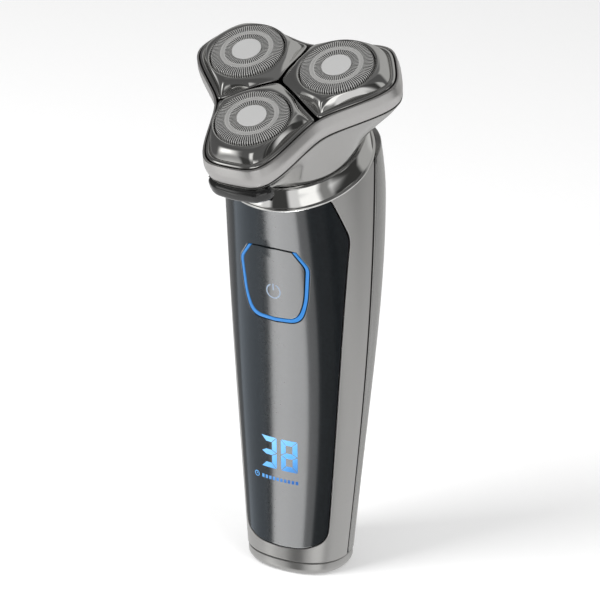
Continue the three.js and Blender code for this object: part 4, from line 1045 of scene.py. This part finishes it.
def floor():
    size = 6.0
    mesh = bpy.data.meshes.new("floor")
    corners = [(-size, -size, 0), (size, -size, 0), (size, size, 0), (-size, size, 0)]
    mesh.from_pydata(corners, [], [(0, 1, 2, 3)])
    ground = bpy.data.objects.new("floor", mesh)
    ground.location.z = -0.00002
    bpy.context.scene.collection.objects.link(ground)
    pale = (0.95, 0.95, 0.95)
    glow = ((1, 1, 1), 0.12)
    mesh.materials.append(material("pale_floor", pale, 0.0, 0.75, 0.01, 0.05, 0.01, 300.0, emission=glow))
    ground.visible_glossy = False


def surroundings():
    """Even white for the eye and for diffuse light; a studio of bright and dark cards for reflections."""
    world = bpy.data.worlds.new("studio")
    bpy.context.scene.world = world
    world.use_nodes = True
    n = Nodes(world.node_tree)
    axes = n.add("ShaderNodeSeparateXYZ", {0: n.add("ShaderNodeTexCoord").outputs["Generated"]})
    back = n.math("MULTIPLY", axes.outputs["Y"], -1.0)
    turn = n.math("MULTIPLY", n.math("ARCTAN2", axes.outputs["X"], back), 360 / TURN)
    rise = n.math("MULTIPLY", n.math("ARCSINE", axes.outputs["Z"]), 360 / TURN)

    def step(value, at, soft):
        limits = {"Value": value, "From Min": at - soft, "From Max": at + soft}
        return n.add("ShaderNodeMapRange", limits, interpolation_type="SMOOTHSTEP").outputs[0]

    def lay(under, left, right, low, high, soft, shade):
        """A soft-edged card between two azimuths and two elevations in degrees, laid over what is there."""
        mask = n.math("MULTIPLY", step(turn, left, soft), n.math("SUBTRACT", 1.0, step(turn, right, soft)))
        mask = n.math("MULTIPLY", mask, step(rise, low, soft))
        mask = n.math("MULTIPLY", mask, n.math("SUBTRACT", 1.0, step(rise, high, soft)))
        return n.over(mask, under, shade)

    height = n.math("MULTIPLY_ADD", rise, 1 / 180, 0.5)
    shine = n.ramp(height, [(0.0, 0.75), (0.36, 0.78), (0.43, 0.1), (0.8, 0.09), (0.9, 0.15)])
    for left, right, low, high, soft, level in (
        (118, 400, -22, 64, 9, 0.42),
        (-400, -128, -22, 64, 9, 0.40),
        (-400, -160, -45, 0, 8, 0.55),
        (165, 400, -45, 0, 8, 0.55),
        (-52, -20, -20, 26, 8, 0.35),
        (-46, -26, -8, 16, 8, 1.5),
        (-50, -36, -50, -26, 4, 1.5),
        (-20, 9, -50, -8, 4, 0.05),
        (26, 54, -34, -9, 3, 1.2),
        (58, 74, -34, -10, 4, 0.25),
        (76, 128, -20, 2, 5, 0.04),
        (52, 70, 28, 46, 5, 0.3),
        (8, 24, -8, 16, 5, 0.9),
        (84, 100, -8, 8, 3, 0.5),
    ):
        shine = lay(shine, left, right, low, high, soft, (level, level, level * 0.985))
    glossy = n.add("ShaderNodeBackground", {"Color": shine, "Strength": 1.0})
    plain = n.add("ShaderNodeBackground", {"Color": (1, 1, 1, 1), "Strength": 0.55})
    seen = n.add("ShaderNodeBackground", {"Color": (1, 1, 1, 1), "Strength": 1.0})
    path = n.add("ShaderNodeLightPath")
    shiny, direct = path.outputs["Is Glossy Ray"], path.outputs["Is Camera Ray"]
    first = n.add("ShaderNodeMixShader", {0: shiny, 1: plain.outputs[0], 2: glossy.outputs[0]})
    whole = n.add("ShaderNodeMixShader", {0: direct, 1: first.outputs[0], 2: seen.outputs[0]})
    n.add("ShaderNodeOutputWorld", {"Surface": whole.outputs[0]})


def camera():
    """A long lens from the front right and above, at the height of the head."""
    turn, rise, tilt = math.radians(28.29), math.radians(22.24), math.radians(0.82)
    back = Vector((math.sin(turn) * math.cos(rise), -math.cos(turn) * math.cos(rise), math.sin(rise)))
    right = Vector((math.cos(turn), math.sin(turn), 0))
    up = back.cross(right)
    head_centre = Vector((0, -HEAD_FORWARD, HEAD_RISE))
    across = right * math.cos(tilt) + up * math.sin(tilt)
    above = up * math.cos(tilt) - right * math.sin(tilt)
    place = head_centre + across * 6.23 - above * 64.04 + back * 862.8
    data = bpy.data.cameras.new("camera")
    data.lens, data.sensor_width = 180, 36
    data.clip_start, data.clip_end = 0.01, 50
    made = bpy.data.objects.new("camera", data)
    bpy.context.scene.collection.objects.link(made)
    made.matrix_world = Matrix.Translation(place * MM) @ Matrix((across, above, back)).transposed().to_4x4()
    bpy.context.scene.camera = made


camera()
panel = front_panel()
pad = power_pad()
light_guide()
side_frame()
rear_cover()
base_cap()
display()
power_symbol()
neck_ring()
head_base()
hinge_lugs()
release_button()
head_cover()
for side, degrees in SIDES:
    petal(side, degrees)
    shaving_cap(side, degrees)
    cap_disc(side, degrees)
keep_nodes()
floor()
surroundings()
middle = Vector((0, -0.02, 0.07))
card("key", (0.5, 0.5), (-0.5, -0.6, 0.9), middle, 9.0)
card("fill", (0.6, 0.6), (0.8, -0.3, 0.5), middle, 4.0)
gloss = [panel, pad]
card("panel_strip", (0.27, 1.6), (-0.085, -0.33, -0.21), middle, 52.0, only=gloss)
card("panel_strip_edge", (0.1, 1.6), (0.09, -0.33, -0.21), middle, 5.0, only=gloss)
card("panel_left", (0.5, 1.6), (-0.5, -0.2, -0.21), middle, 7.0, (0.75, 0.87, 1.0), only=gloss)
bpy.context.scene.view_settings.view_transform = "Standard"
